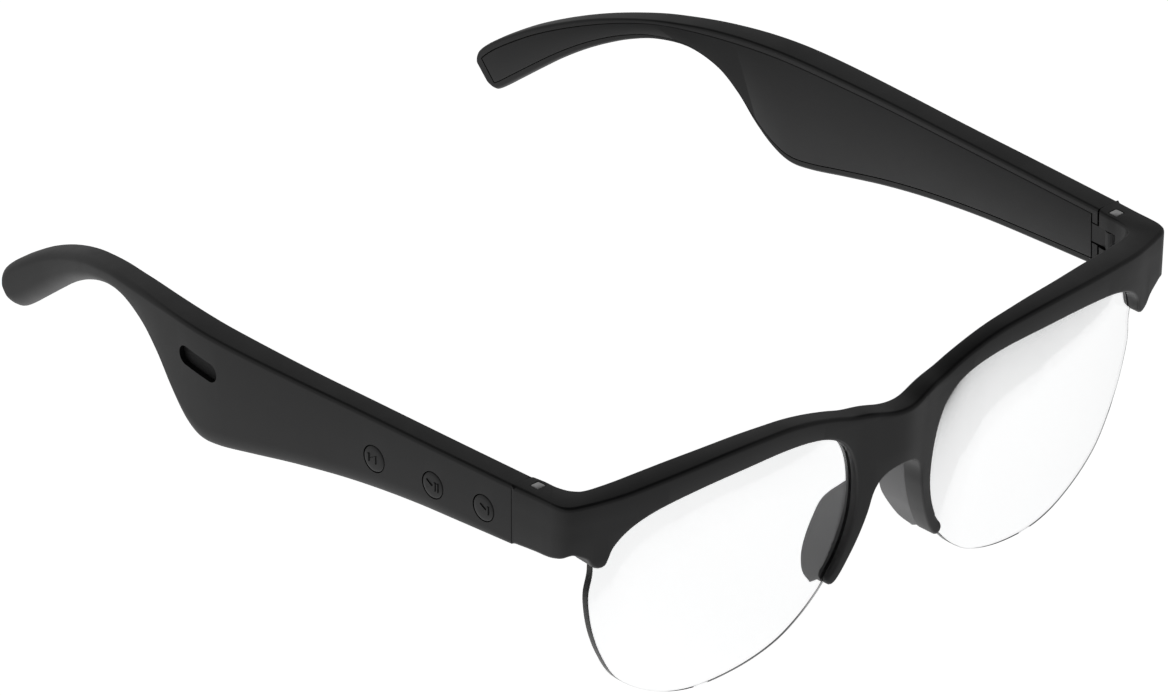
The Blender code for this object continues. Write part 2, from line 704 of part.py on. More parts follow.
def button_places():
    """Each button's name and its centre in y and z: the first just clears the hinge foot, and each
    stays above the cavity's lower chamfer."""
    reach = BUTTON_RADIUS + BUTTON_FLANGE_RIM
    first = SHOULDER_Y + RIM + SEAT_GAP + FOOT_LENGTH + RUNNING_GAP + reach
    places = []
    for name, (back, z) in BUTTONS.items():
        y = first + back * MM
        lowest = graph(TEMPLE_BOTTOM, drawn_y(y), 1) * MM + CAVITY_INSET + CAVITY_CHAMFER + reach
        places.append((name, y, max(z * MM, lowest)))
    return places


def screw_places():
    """The hinge screws' centres in y and z."""
    foot = SHOULDER_Y + RIM + SEAT_GAP
    return [(foot + back * MM, z * MM) for back, z in HINGE_SCREWS]


def contact_places():
    """The charging contacts' distances back."""
    return [SHOULDER_Y + back * MM for back in CONTACTS]


def temple_shell(side, word, parent):
    """The temple's outer shell: a tray with the ear hook moulded on."""
    at = Vector(parent["at"])
    body = tray(front_station(RIM), CAVITY_END, SEAT_END)
    shell = finish(mirrored(body, side), "temple_shell_" + word, plastic(), at, parent)
    tongue = box((PIN_X - TONGUE_INNER - SEAT_GAP, SHOULDER_Y - CUT_OVERRUN, TONGUE_BOTTOM),
                 (PIN_X + TONGUE_OUTER + SEAT_GAP, SHOULDER_Y + RIM + CUT_OVERRUN, TONGUE_TOP))
    cutters = [("tongue_slot_", tongue),
               ("vent_slot_", capsule(VENT_RADIUS, -CUT_OVERRUN, WALL + CUT_OVERRUN))]
    for number, (y, z) in enumerate(screw_places(), 1):
        radius = SCREW_RADIUS + RUNNING_GAP
        ends = [(SCREW_SKIN - RUNNING_GAP, radius), (WALL + CUT_OVERRUN, radius)]
        hole = fitted_pin(ends, y, z, SCREW_SIDES)
        cutters.append((f"screw_hole_{number}_", hole))
    if side < 0:
        radius = BUTTON_RADIUS + RUNNING_GAP
        for name, y, z in button_places():
            hole = fitted_pin([(-CUT_OVERRUN, radius), (WALL + CUT_OVERRUN, radius)], y, z, BUTTON_SIDES)
            cutters.append((f"button_hole_{name}_", hole))
        y = SHOULDER_Y + MIC_AT
        x = outer_x(y) - thickness(y) / 2
        port = turned([(0, MIC_PORT_RADIUS), (MIC_PORT_DRILL, MIC_PORT_RADIUS)],
                      (x, y, BOARD_BOTTOM), (0, 0, -1), SCREW_SIDES)
        cutters.append(("microphone_port_", port))
    for name, shape in cutters:
        cut(shell, finish(mirrored(shape, side), name + word, None, at, parent))


def temple_cover(side, word, parent):
    """The thin plate that closes the shell from the head side."""
    at = Vector(parent["at"])
    start = front_station(RIM + SEAT_GAP)
    stations = stations_between(start, COVER_END)
    edge = RIM + SEAT_GAP
    rings = [[spot(s, edge, COVER_THICKNESS, True), spot(s, -edge, COVER_THICKNESS, True),
              spot(s, -edge, 0, True), spot(s, edge, 0, True)] for s in stations]
    cover = finish(mirrored(loft(rings), side), "inner_cover_" + word, plastic(), at, parent)
    if side < 0:
        for number, y in enumerate(contact_places(), 1):
            inner = thickness(y)
            radius = CONTACT_RADIUS + RUNNING_GAP
            ends = [(inner - COVER_THICKNESS - CUT_OVERRUN, radius), (inner + CUT_OVERRUN, radius)]
            hole = fitted_pin(ends, y, CONTACT_Z, SCREW_SIDES)
            cut(cover, finish(mirrored(hole, side), f"contact_hole_{number}", None, at, parent))


def hinge_arm(side, word, parent):
    """The steel hinge half in the temple: barrel, tongue and screwed foot."""
    low, high = TONGUE_BOTTOM + SEAT_GAP, TONGUE_TOP - SEAT_GAP
    turn_out = math.degrees(math.acos(TONGUE_OUTER / BARREL_RADIUS))
    turn_in = 180 - math.degrees(math.acos(TONGUE_INNER / BARREL_RADIUS))
    foot_front = SHOULDER_Y + RIM + SEAT_GAP
    shallow = WALL + PART_GAP
    foot_face = outer_x(foot_front) - shallow
    lap = foot_front + FOOT_LAP
    cavity_face = foot_front - SEAT_GAP / 2
    cover_face = outer_x(foot_front) - thickness(foot_front) + COVER_THICKNESS
    step = max(PIN_X + TONGUE_OUTER - FOOT_THICKNESS, cover_face + PART_GAP)
    plan = arc((PIN_X, PIN_Y), BARREL_RADIUS, turn_out, turn_in - 360, BARREL_SIDES)
    plan += [(PIN_X - TONGUE_INNER, cavity_face), (step, cavity_face), (step, lap),
             (foot_face - FOOT_LAP / 2, lap), (foot_face - FOOT_LAP / 2, cavity_face),
             (PIN_X + TONGUE_OUTER, cavity_face)]
    at = Vector(parent["at"])
    arm = finish(mirrored(prism(plan, low, high), side), "hinge_arm_" + word, steel(), at, parent)
    foot = fitted_box(foot_front, foot_front + FOOT_LENGTH, FOOT_BOTTOM, FOOT_TOP, shallow,
                      shallow + FOOT_THICKNESS)
    base = finish(mirrored(foot, side), "hinge_foot_" + word, None, at, parent)
    base.hide_render = True
    base.display_type = "WIRE"
    union = arm.modifiers.new("foot", "BOOLEAN")
    union.operation = "UNION"
    union.solver = "EXACT"
    union.object = base
    bore_radius = PIN_RADIUS + RUNNING_GAP
    bore = turned([(low - CUT_OVERRUN, bore_radius), (CUT_OVERRUN, bore_radius)],
                  (PIN_X, PIN_Y, 0), (0, 0, 1), PIN_SIDES)
    cut(arm, finish(mirrored(bore, side), "pin_bore_" + word, None, at, parent))
    for number, (y, z) in enumerate(screw_places(), 1):
        radius = SCREW_RADIUS + RUNNING_GAP
        ends = [(0, radius), (shallow + FOOT_THICKNESS + CUT_OVERRUN, radius)]
        hole = fitted_pin(ends, y, z, SCREW_SIDES)
        cut(arm, finish(mirrored(hole, side), f"foot_hole_{number}_{word}", None, at, parent))
        under = shallow + FOOT_THICKNESS + PART_GAP / 2
        screw = fitted_pin([(SCREW_SKIN, SCREW_RADIUS), (under, SCREW_RADIUS), (under, SCREW_HEAD_RADIUS),
                            (under + SCREW_HEAD_HEIGHT, SCREW_HEAD_RADIUS)], y, z, SCREW_SIDES)
        finish(mirrored(screw, side), f"hinge_screw_{word}_{number}", steel(), at, parent)


def electronics(side, word, parent):
    """The board, battery, speaker and vent mesh of a temple."""
    at = Vector(parent["at"])
    start = SHOULDER_Y + BOARD_START
    end = start + BOARD_LENGTH
    top_of_board = board_depth()
    board = fitted_box(start, end, BOARD_BOTTOM, BOARD_TOP, top_of_board, top_of_board + BOARD_THICKNESS)
    finish(mirrored(board, side), "circuit_board_" + word, laminate(), at, parent, smooth=False)
    y, z = real_y(VENT_CENTRE[0]), VENT_CENTRE[1] * MM
    mesh_top = WALL + PART_GAP
    mesh = capsule(VENT_RADIUS + MESH_LAP, mesh_top, mesh_top + MESH_THICKNESS)
    finish(mirrored(mesh, side), "vent_mesh_" + word, cloth(), at, parent)
    ends = (y - SPEAKER_LENGTH / 2, y + SPEAKER_LENGTH / 2)
    speaker_back = min(thickness(end) for end in ends) - COVER_THICKNESS - SPEAKER_REST
    speaker = fitted_box(*ends, z - SPEAKER_HEIGHT / 2, z + SPEAKER_HEIGHT / 2,
                         mesh_top + MESH_THICKNESS + PART_GAP, speaker_back)
    finish(mirrored(speaker, side), "speaker_" + word, dark_can(), at, parent, smooth=False)
    battery = fitted_box(end + BATTERY_GAP, ends[0] - BATTERY_GAP, BATTERY_BOTTOM, BATTERY_TOP,
                         WALL + PART_GAP, WALL + PART_GAP + BATTERY_THICKNESS)
    finish(mirrored(battery, side), "battery_" + word, foil(), at, parent, smooth=False)


def board_depth():
    """Depth of the board's outer face, with a switch and a button's travel above it."""
    return WALL + PART_GAP + BUTTON_FLANGE + BUTTON_TRAVEL + PART_GAP / 2 + SWITCH_HEIGHT + PART_GAP


def controls(parent):
    """Buttons, switches, microphone and charging contacts of the right temple."""
    side = -1
    at = Vector(parent["at"])
    under_wall = WALL + PART_GAP
    switch_top = board_depth() - PART_GAP - SWITCH_HEIGHT
    for name, y, z in button_places():
        pivot = Vector((side * outer_x(y), y, z))
        rim = BUTTON_RADIUS + BUTTON_FLANGE_RIM
        profile = [(-BUTTON_PROUD, BUTTON_RADIUS), (under_wall, BUTTON_RADIUS), (under_wall, rim),
                   (under_wall + BUTTON_FLANGE, rim)]
        shape = fitted_pin(profile, y, z, BUTTON_SIDES)
        finish(mirrored(shape, side), "button_" + name, plastic(), pivot, parent)
        half = SWITCH_SIZE / 2
        switch = fitted_box(y - half, y + half, z - half, z + half, switch_top, switch_top + SWITCH_HEIGHT)
        finish(mirrored(switch, side), "switch_" + name, dark_can(), at, parent, smooth=False)
    y = SHOULDER_Y + MIC_AT
    half = MIC_SIZE / 2
    mic_bottom = board_depth() - PART_GAP
    mic = fitted_box(y - half, y + half, BOARD_BOTTOM, BOARD_BOTTOM + MIC_SIZE, mic_bottom - MIC_HEIGHT,
                     mic_bottom)
    finish(mirrored(mic, side), "microphone", dark_can(), at, parent, smooth=False)
    contact_top = board_depth() + BOARD_THICKNESS + PART_GAP
    for number, y in enumerate(contact_places(), 1):
        shape = fitted_pin([(contact_top, CONTACT_RADIUS), (thickness(y), CONTACT_RADIUS)], y, CONTACT_Z,
                           SCREW_SIDES)
        finish(mirrored(shape, side), f"charge_contact_{number}", gold(), at, parent)


# ---------------------------------------------------------------- assembly

def build():
    """Put the glasses together."""
    for obj in list(bpy.data.objects):
        bpy.data.objects.remove(obj)
    glasses = anchor("glasses", Vector())
    front_frame(glasses)
    lenses(glasses)
    nose_pads(glasses)
    for side, word in ((1, "left"), (-1, "right")):
        axis = anchor("fold_axis_" + word, Vector((side * PIN_X, PIN_Y, 0)), glasses)
        finish(mirrored(pin_shape(0), side), "hinge_pin_" + word, steel(), Vector(axis["at"]), axis)
        temple_shell(side, word, axis)
        temple_cover(side, word, axis)
        hinge_arm(side, word, axis)
        electronics(side, word, axis)
        if side < 0:
            controls(axis)
    glasses.location = -ORIGIN


build()
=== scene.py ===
"""Smart glasses with clear half-rim lenses, a moulded black front and two folding temples."""

import math

import bmesh
import bpy
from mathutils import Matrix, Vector


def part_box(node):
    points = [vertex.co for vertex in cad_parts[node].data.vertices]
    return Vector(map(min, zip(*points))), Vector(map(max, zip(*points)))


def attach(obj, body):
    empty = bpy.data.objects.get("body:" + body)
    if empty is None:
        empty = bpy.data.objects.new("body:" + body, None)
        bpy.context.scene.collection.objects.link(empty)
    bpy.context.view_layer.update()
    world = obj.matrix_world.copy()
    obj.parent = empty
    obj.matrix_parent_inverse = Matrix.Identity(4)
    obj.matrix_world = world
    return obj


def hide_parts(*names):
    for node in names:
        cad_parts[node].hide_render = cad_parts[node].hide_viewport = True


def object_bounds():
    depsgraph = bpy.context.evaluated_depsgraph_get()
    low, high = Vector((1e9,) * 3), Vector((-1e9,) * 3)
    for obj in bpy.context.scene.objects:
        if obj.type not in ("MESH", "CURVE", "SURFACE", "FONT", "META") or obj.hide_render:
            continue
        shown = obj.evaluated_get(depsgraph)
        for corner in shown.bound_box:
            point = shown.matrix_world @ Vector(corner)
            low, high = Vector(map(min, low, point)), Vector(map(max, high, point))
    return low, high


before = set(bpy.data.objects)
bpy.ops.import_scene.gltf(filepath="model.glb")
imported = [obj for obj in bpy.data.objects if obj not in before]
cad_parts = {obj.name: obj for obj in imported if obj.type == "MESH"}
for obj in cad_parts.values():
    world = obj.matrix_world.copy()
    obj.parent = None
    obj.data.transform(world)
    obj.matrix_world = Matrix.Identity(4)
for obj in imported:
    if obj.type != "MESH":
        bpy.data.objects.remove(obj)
cad_low, cad_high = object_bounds()

# ------------------------------------------------------------------ front
# The front is one injection-moulded bar of matt black nylon: brow, bridge, two nose arms, the
# tabs at the lenses' outer ends and the end pieces that wrap back to the hinges. It is drawn
# unrolled, as distance along the brow and height, in millimetres, and then bent to its plan.

# The drawing counts from the front corners and the temples' upper edges; this is the way back
DRAWN_BACK = 72.0
DRAWN_UP = 47.6

BROW_TOP = [(0, -4.0), (3, -3.8), (7, -2.9), (11, -2.3), (15, -1.1), (20, 0.2), (25, 1.1), (30, 1.5),
            (35, 1.75), (41, 1.75), (48, 1.45), (55, 1.0), (61, 0.5), (67, 0.1), (72, 0), (78, 0)]
BROW_END = [(84, 0), (84, -11.45)]
END_LOWER = [(79, -11.0), (75.5, -10.8), (73, -10.3), (71, -9.7), (69.6, -10.3), (67.9, -11.4),
             (66.8, -13.0), (65.6, -13.7), (64.4, -13.4), (63.8, -12.0)]
BROW_LOWER = [(63.2, -10.2), (61.6, -8.2), (59.3, -6.6), (56, -5.3), (52, -4.4), (47, -3.75), (42, -3.35),
              (36, -3.15), (30, -3.15), (24.5, -3.45), (19.5, -4.2), (16, -5.3), (13.3, -7.0), (11.4, -9.4)]
NOSE_ARM = [(10, -13), (9.2, -18), (9.25, -23), (10.2, -27.5), (11.8, -31.5), (13.8, -34.8),
            (13.6, -35.9), (12.6, -36.3), (11.3, -35.2), (9.5, -32), (7.8, -28), (6.4, -23.5),
            (5.5, -19.5), (4.3, -17.3), (2.5, -16.0), (0, -15.5)]
# Plan of the bar: distance along the brow, then the face's x and y and the rear's x and y
BROW_PLAN = [(-6, -6, -10.1, -6, -5.5), (0, 0, -11.2, 0, -6.4), (6, 6, -10.1, 6, -5.5),
             (10, 10, -9.2, 10, -4.9), (14, 14, -8.75, 14, -4.65), (20, 20, -8.5, 20, -4.4),
             (27, 27, -8.4, 27, -4.05), (35, 35, -8.25, 35, -3.4), (42, 42, -7.75, 42, -2.6),
             (50, 50, -6.8, 50, -1.2), (57, 57, -5.6, 57, 0.1), (62, 62, -4.5, 62, 1.2),
             (66, 66, -3.2, 65.6, 2.4), (69, 69, -2.1, 66.9, 4.0), (71, 70.9, -1.3, 67.35, 5.3),
             (72.5, 72.1, -0.3, 67.52, 6.3), (74, 72.65, 1.4, 67.6, 7.1), (76, 72.78, 3.6, 67.6, 8.0),
             (79, 72.85, 6.6, 67.6, 9.4), (84, 73.08, 12.08, 67.9, 12.08)]
LEAN = 0.114
LEAN_FADE = (66.0, 79.0)
END_AT = 83.9


def placed(x, y, z):
    """A drawn point in the row's frame, in metres."""
    return Vector((x, y - DRAWN_BACK, z + DRAWN_UP)) / 1000


def reading(rows, at, column):
    """A column of a table at a place in its first column, on a smooth curve through its rows."""
    last = len(rows) - 1
    low = 0
    while low < last - 1 and rows[low + 1][0] <= at:
        low += 1
    span = rows[low + 1][0] - rows[low][0]

    def slope(i):
        before, after = max(i - 1, 0), min(i + 1, last)
        return (rows[after][column] - rows[before][column]) / (rows[after][0] - rows[before][0])

    t = (at - rows[low][0]) / span
    a, b = rows[low][column], rows[low + 1][column]
    leave, arrive = slope(low) * span, slope(low + 1) * span
    return (a * (1 + 2 * t) * (1 - t) ** 2 + leave * t * (1 - t) ** 2
            + b * t * t * (3 - 2 * t) - arrive * t * t * (1 - t))


def flowing(points, corners, step):
    """A closed outline drawn smoothly through its points, broken at its corners."""
    count = len(points)
    outline = []
    for i in range(count):
        p = [Vector(points[(i + k - 1) % count]) for k in range(4)]
        gap = (p[2] - p[1]).length
        starts_sharp, ends_sharp = points[i] in corners, points[(i + 1) % count] in corners
        leave = arrive = p[2] - p[1]
        if not starts_sharp:
            leave = (p[2] - p[0]) / 2 * (gap / max((p[2] - p[0]).length / 2, 1e-6))
        if not ends_sharp:
            arrive = (p[3] - p[1]) / 2 * (gap / max((p[3] - p[1]).length / 2, 1e-6))
        pieces = 1 if starts_sharp and ends_sharp else max(1, round(gap / step))
        for k in range(pieces):
            t = k / pieces
            outline.append(p[1] * (1 + 2 * t) * (1 - t) ** 2 + leave * t * (1 - t) ** 2
                           + p[2] * t * t * (3 - 2 * t) - arrive * t * t * (1 - t))
    return outline


def softened_slab(outline, rounds, cuts, face, rear, steps=5):
    """A slab between two surfaces, with its edges rounded over.

    rounds(point, outward) gives the radii at the face and at the rear, each across the outline's
    two directions. The slab is sliced at the cuts so that it can follow its surfaces.
    """
    middle = 50.0
    count = len(outline)
    area = sum(outline[i - 1].x * outline[i].y - outline[i].x * outline[i - 1].y for i in range(count))
    turn = 1 if area > 0 else -1
    outward = []
    for i in range(count):
        run = (outline[(i + 1) % count] - outline[i - 1]).normalized()
        outward.append(Vector((run.y, -run.x)) * turn)
    radii = [rounds(point, out) for point, out in zip(outline, outward)]
    bm = bmesh.new()
    worn = bm.verts.layers.float.new("edge")
    layers = []
    for at_rear in (False, True):
        for k in range(steps + 1):
            angle = math.pi / 2 * (k / steps if not at_rear else 1 - k / steps)
            ring = []
            for point, out, radius in zip(outline, outward, radii):
                across, up = radius[at_rear]
                depth = max(across, up) * (1 - math.cos(angle))
                inset = Vector((out.x * across, out.y * up)) * (1 - math.sin(angle))
                place = 2 * middle - depth if at_rear else depth
                vert = bm.verts.new((point.x - inset.x, place, point.y - inset.y))
                vert[worn] = math.sin(2 * angle)
                ring.append(vert)
            layers.append(ring)
    for near, far in zip(layers, layers[1:]):
        for i in range(count):
            j = (i + 1) % count
            bm.faces.new((near[i], near[j], far[j], far[i]))
    bm.faces.new(layers[0])
    bm.faces.new(layers[-1])
    for place, direction in cuts:
        everything = bm.verts[:] + bm.edges[:] + bm.faces[:]
        bmesh.ops.bisect_plane(bm, geom=everything, plane_co=place, plane_no=direction, dist=1e-5)
    bmesh.ops.triangulate(bm, faces=[face for face in bm.faces if len(face.verts) > 4])
    for vert in bm.verts:
        s, depth, z = vert.co
        near, far = face(s, z), rear(s, z)
        through = (far - near).normalized()
        vert.co = near + through * depth if depth < middle else far - through * (2 * middle - depth)
    return bm


def slices(places, direction=(1, 0, 0)):
    """Slicing planes at places along a direction."""
    return [(Vector(direction) * place, direction) for place in places]


def solid(bm, name, crease=32):
    """A closed piece, in drawn millimetres, made into an object in the row's frame."""
    bmesh.ops.recalc_face_normals(bm, faces=bm.faces[:])
    for vert in bm.verts:
        vert.co = placed(*vert.co)
    mesh = bpy.data.meshes.new(name)
    bm.to_mesh(mesh)
    bm.free()
    mesh.shade_smooth()
    mesh.set_sharp_from_angle(angle=math.radians(crease))
    made = bpy.data.objects.new(name, mesh)
    bpy.context.scene.collection.objects.link(made)
    return made


def carved(piece, cutters, crease=32):
    """Take the cutters out of a piece for good."""
    for cutter in cutters:
        cut = piece.modifiers.new("cut", "BOOLEAN")
        cut.operation = "DIFFERENCE"
        cut.solver = "EXACT"
        cut.object = cutter
    bpy.context.view_layer.update()
    finished = bpy.data.meshes.new_from_object(piece.evaluated_get(bpy.context.evaluated_depsgraph_get()))
    piece.modifiers.clear()
    piece.data = finished
    finished.shade_smooth()
    finished.set_sharp_from_angle(angle=math.radians(crease))
    for cutter in cutters:
        bpy.data.objects.remove(cutter)
    return piece


def loft(rings, capped=True):
    """A skin through rings of the same number of points."""
    bm = bmesh.new()
    made = [[bm.verts.new(point) for point in ring] for ring in rings]
    count = len(rings[0])
    for near, far in zip(made, made[1:]):
        for i in range(count):
            j = (i + 1) % count
            bm.faces.new((near[i], near[j], far[j], far[i]))
    if capped:
        bm.faces.new(made[0])
        bm.faces.new(made[-1])
    return bm


def arc(centre, radius, start, end, steps):
    """Points of an arc, its angles in degrees."""
    angles = [math.radians(start + (end - start) * i / steps) for i in range(steps + 1)]
    return [(centre[0] + radius * math.cos(a), centre[1] + radius * math.sin(a)) for a in angles]


def upright(plan, low, high):
    """A plan outline given a height."""
    return loft([[(x, y, z) for x, y in plan] for z in (low, high)])


def on_side(bm, side):
    """A piece made for the wearer's left, put on the wanted side."""
    for vert in bm.verts:
        vert.co.x *= side
    return bm


def moulded_black(name, grain=0.5, sheen=0.0):
    """Matt black nylon as it comes out of a spark-eroded mould, rubbed a little smoother at its edges."""
    made = bpy.data.materials.new(name)
    made.use_nodes = True
    nodes, links = made.node_tree.nodes, made.node_tree.links
    shader = nodes["Principled BSDF"]
    shader.inputs["IOR"].default_value = 1.5
    where = nodes.new("ShaderNodeTexCoord")
    pebbles = nodes.new("ShaderNodeTexNoise")
    pebbles.inputs["Scale"].default_value = 4600
    pebbles.inputs["Detail"].default_value = 2
    links.new(where.outputs["Object"], pebbles.inputs["Vector"])
    handling = nodes.new("ShaderNodeTexNoise")
    handling.inputs["Scale"].default_value = 95
    handling.inputs["Detail"].default_value = 5
    handling.inputs["Roughness"].default_value = 0.62
    links.new(where.outputs["Object"], handling.inputs["Vector"])
    tone = nodes.new("ShaderNodeMix")
    tone.data_type = "RGBA"
    tone.inputs[6].default_value = (0.0035, 0.0035, 0.0038, 1)
    tone.inputs[7].default_value = (0.0075, 0.0075, 0.0078, 1)
    links.new(handling.outputs["Fac"], tone.inputs[0])
    worn = nodes.new("ShaderNodeAttribute")
    worn.attribute_name = "edge"
    rub = nodes.new("ShaderNodeMath")
    rub.operation = "MULTIPLY"
    rub.inputs[1].default_value = -0.07
    links.new(worn.outputs["Fac"], rub.inputs[0])
    polish = nodes.new("ShaderNodeMapRange")
    polish.inputs["From Min"].default_value = 0.3
    polish.inputs["From Max"].default_value = 0.7
    polish.inputs["To Min"].default_value = 0.36 - sheen
    polish.inputs["To Max"].default_value = 0.45 - sheen
    links.new(handling.outputs["Fac"], polish.inputs["Value"])
    total = nodes.new("ShaderNodeMath")
    total.operation = "ADD"
    links.new(polish.outputs["Result"], total.inputs[0])
    links.new(rub.outputs[0], total.inputs[1])
    texture = nodes.new("ShaderNodeBump")
    texture.inputs["Strength"].default_value = grain
    texture.inputs["Distance"].default_value = 0.00002
    links.new(pebbles.outputs["Fac"], texture.inputs["Height"])
    links.new(tone.outputs[2], shader.inputs["Base Color"])
    links.new(total.outputs[0], shader.inputs["Roughness"])
    links.new(texture.outputs["Normal"], shader.inputs["Normal"])
    return made


def leaning(at, z):
    """How far the front leans back at a height, fading out round the end pieces."""
    share = min(max((LEAN_FADE[1] - abs(at)) / (LEAN_FADE[1] - LEAN_FADE[0]), 0), 1)
    return -LEAN * z * share


def bar_point(at, z, column):
    """A point of the bar's face (column 1) or rear (column 3)."""
    x = math.copysign(reading(BROW_PLAN, abs(at), column), at)
    return Vector((x, reading(BROW_PLAN, abs(at), column + 1) + leaning(at, z), z))


def bar_face(at, z):
    """The face."""
    return bar_point(at, z, 1)


def bar_rear(at, z):
    """The rear."""
    return bar_point(at, z, 3)


def bar_rounds(point, out):
    """How far the bar's edges are rounded: crisp above and on the end pieces, softer elsewhere."""
    if abs(point.x) > END_AT:
        return (0.1, 0.8), (0.1, 0.6)
    if out.y > 0.5:
        return (0.8, 0.8), (0.6, 0.6)
    share = min(max((abs(point.x) - 68) / 16, 0), 1) if point.y > -11.6 else 0
    soft = 0.5 + 0.3 * share
    rear = 0.4 + 0.2 * share
    return (soft, soft), (rear, rear)


PIN_X = 69.65
PIN_Y = 9.0
PIN_RADIUS = 0.6
PIN_HEAD = 1.9
PIN_HEAD_DEEP = 0.6
PIN_LENGTH = 9.6
BARREL = 2.0
EAR = 3.02
TONGUE_TOP = -3.0
TONGUE_FOOT = -7.1
TONGUE_INNER = 1.45
TONGUE_OUTER = 1.15
SEAT_GAP = 0.3
LENS_FACE = -7.9
LENS_BOW = 0.00164
LENS_THICK = 1.5
LENS_EDGE = [(64.9, -13.5), (64.8, -16.2), (65.2, -20.2), (64.6, -24.6), (63.4, -29.1), (61.4, -33.9),
             (58.5, -38.8), (55, -42.1), (50.6, -44.8), (45.9, -46.7), (40.5, -47.6), (34, -47.3),
             (27.8, -46.1), (22.6, -44.1), (18.4, -41.2), (15.2, -38.1), (12.9, -35.2), (10.8, -31.8),
             (9.2, -27.7), (8.25, -23), (8.2, -18), (9.1, -12.7), (10.6, -8.8), (12.7, -6.2),
             (15.6, -4.4), (19.2, -3.2), (24.3, -2.45), (30, -2.15), (36, -2.15), (42, -2.35),
             (47, -2.75), (52, -3.4), (56.4, -4.4), (60, -5.8), (62.4, -7.6), (64.1, -9.9), (64.8, -11.8)]


def lens_side(depth):
    """A surface of the lens, or of its groove, at a depth behind the lens's face."""
    def surface(x, z):
        return Vector((x, LENS_FACE + LENS_BOW * x * x - LEAN * z + depth, z))
    return surface


GROOVE_GAP = 0.05


def lens_slab(side, grow, rounding, gap, steps):
    """A lens, or with a growth and a gap the groove it is glued into."""
    outline = flowing([(x * side, z) for x, z in LENS_EDGE], (), 0.7)
    count = len(outline)
    grown = []
    for i in range(count):
        run = (outline[(i + 1) % count] - outline[i - 1]).normalized()
        grown.append(outline[i] + Vector((run.y, -run.x)) * -side * grow)
    return softened_slab(grown, lambda point, out: ((rounding, rounding), (rounding, rounding)),
                         slices([x * side for x in range(10, 65, 2)]), lens_side(-gap),
                         lens_side(LENS_THICK + gap), steps)


def hinge_pocket():
    """The room between the ears for the hinge barrel, open behind and inside for its tongue."""
    reach = BARREL + SEAT_GAP
    far = 3 * EAR
    outer = PIN_X + TONGUE_OUTER + SEAT_GAP
    inner = PIN_Y - TONGUE_INNER - SEAT_GAP
    turn_out = math.degrees(math.acos((TONGUE_OUTER + SEAT_GAP) / reach))
    turn_in = 180 + math.degrees(math.asin((TONGUE_INNER + SEAT_GAP) / reach))
    plan = arc((PIN_X, PIN_Y), reach, turn_out, turn_in - 360, 40)
    plan += [(PIN_X - far, inner), (PIN_X - far, PIN_Y + far), (outer, PIN_Y + far)]
    return upright(plan, TONGUE_FOOT, TONGUE_TOP)


def ear_corner():
    """What the ears lose at their inner rear corner so that the temple's shoulder can swing past."""
    far = 2 * EAR
    plan = arc((PIN_X, PIN_Y), EAR, 90, 180, 24)
    plan += [(PIN_X - far, PIN_Y), (PIN_X - far, PIN_Y + far), (PIN_X, PIN_Y + far)]
    return upright(plan, -20, 5)


def pin_shape(gap, chamfer=0.0):
    """The hinge pin, or with a gap its hole: a square head with soft corners over a round shaft."""
    half = PIN_HEAD / 2 + gap
    sides = 48

    def head_at(less):
        plan = []
        for i in range(sides):
            a = math.radians(45 + 360 * i / sides)
            x, y = math.cos(a), math.sin(a)
            r = (half - less) / ((abs(x) ** 9 + abs(y) ** 9) ** (1 / 9))
            plan.append((PIN_X + r * x, PIN_Y + r * y))
        return plan

    turns = [math.radians(45 + 360 * i / sides) for i in range(sides)]
    shaft = [(PIN_X + (PIN_RADIUS + gap) * math.cos(a), PIN_Y + (PIN_RADIUS + gap) * math.sin(a)) for a in turns]
    top = 1.0 if gap else 0
    neck = -PIN_HEAD_DEEP - gap
    levels = [(-PIN_LENGTH - 2 * gap, shaft), (neck, shaft), (neck, head_at(0))]
    if chamfer:
        levels += [(top - chamfer, head_at(0)), (top - 0.3 * chamfer, head_at(0.3 * chamfer)),
                   (top, head_at(chamfer))]
    else:
        levels.append((top, head_at(0)))
    return loft([[(x, y, z) for x, y in plan] for z, plan in levels])


half_outline = BROW_TOP + BROW_END + END_LOWER + BROW_LOWER + NOSE_ARM
whole_outline = half_outline + [(-x, z) for x, z in reversed(half_outline) if x]
bar_corners = [(x * side, z) for x, z in BROW_END for side in (1, -1)]
bar_places = [0.75 * i for i in range(1, 112)]
bar_cuts = slices([-place for place in bar_places] + [0] + bar_places)
bar_cuts += slices([-4, -5, -6, -12, -18, -24, -30], (0, 0, 1))
bar_outline = flowing(whole_outline, bar_corners, 0.6)
front = solid(softened_slab(bar_outline, bar_rounds, bar_cuts, bar_face, bar_rear), "front_bar")
front_cutters = []
for side in (1, -1):
    front_cutters.append(solid(lens_slab(side, GROOVE_GAP, 0.01, GROOVE_GAP, 1), "groove"))
    front_cutters.append(solid(on_side(hinge_pocket(), side), "pocket"))
    front_cutters.append(solid(on_side(ear_corner(), side), "corner"))
    front_cutters.append(solid(on_side(pin_shape(0.12), side), "pin_hole"))
carved(front, front_cutters)
front.data.materials.clear()
front.data.materials.append(moulded_black("black_nylon_front"))
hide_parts("front_frame")
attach(front, "front")

# ------------------------------------------------------------------ lenses
# Two clear cast lenses, 1.5 mm thick and slightly bowed, cut to shape and polished round the
# edge. Each is glued into the groove under the brow, in the nose arm and in the outer tab.


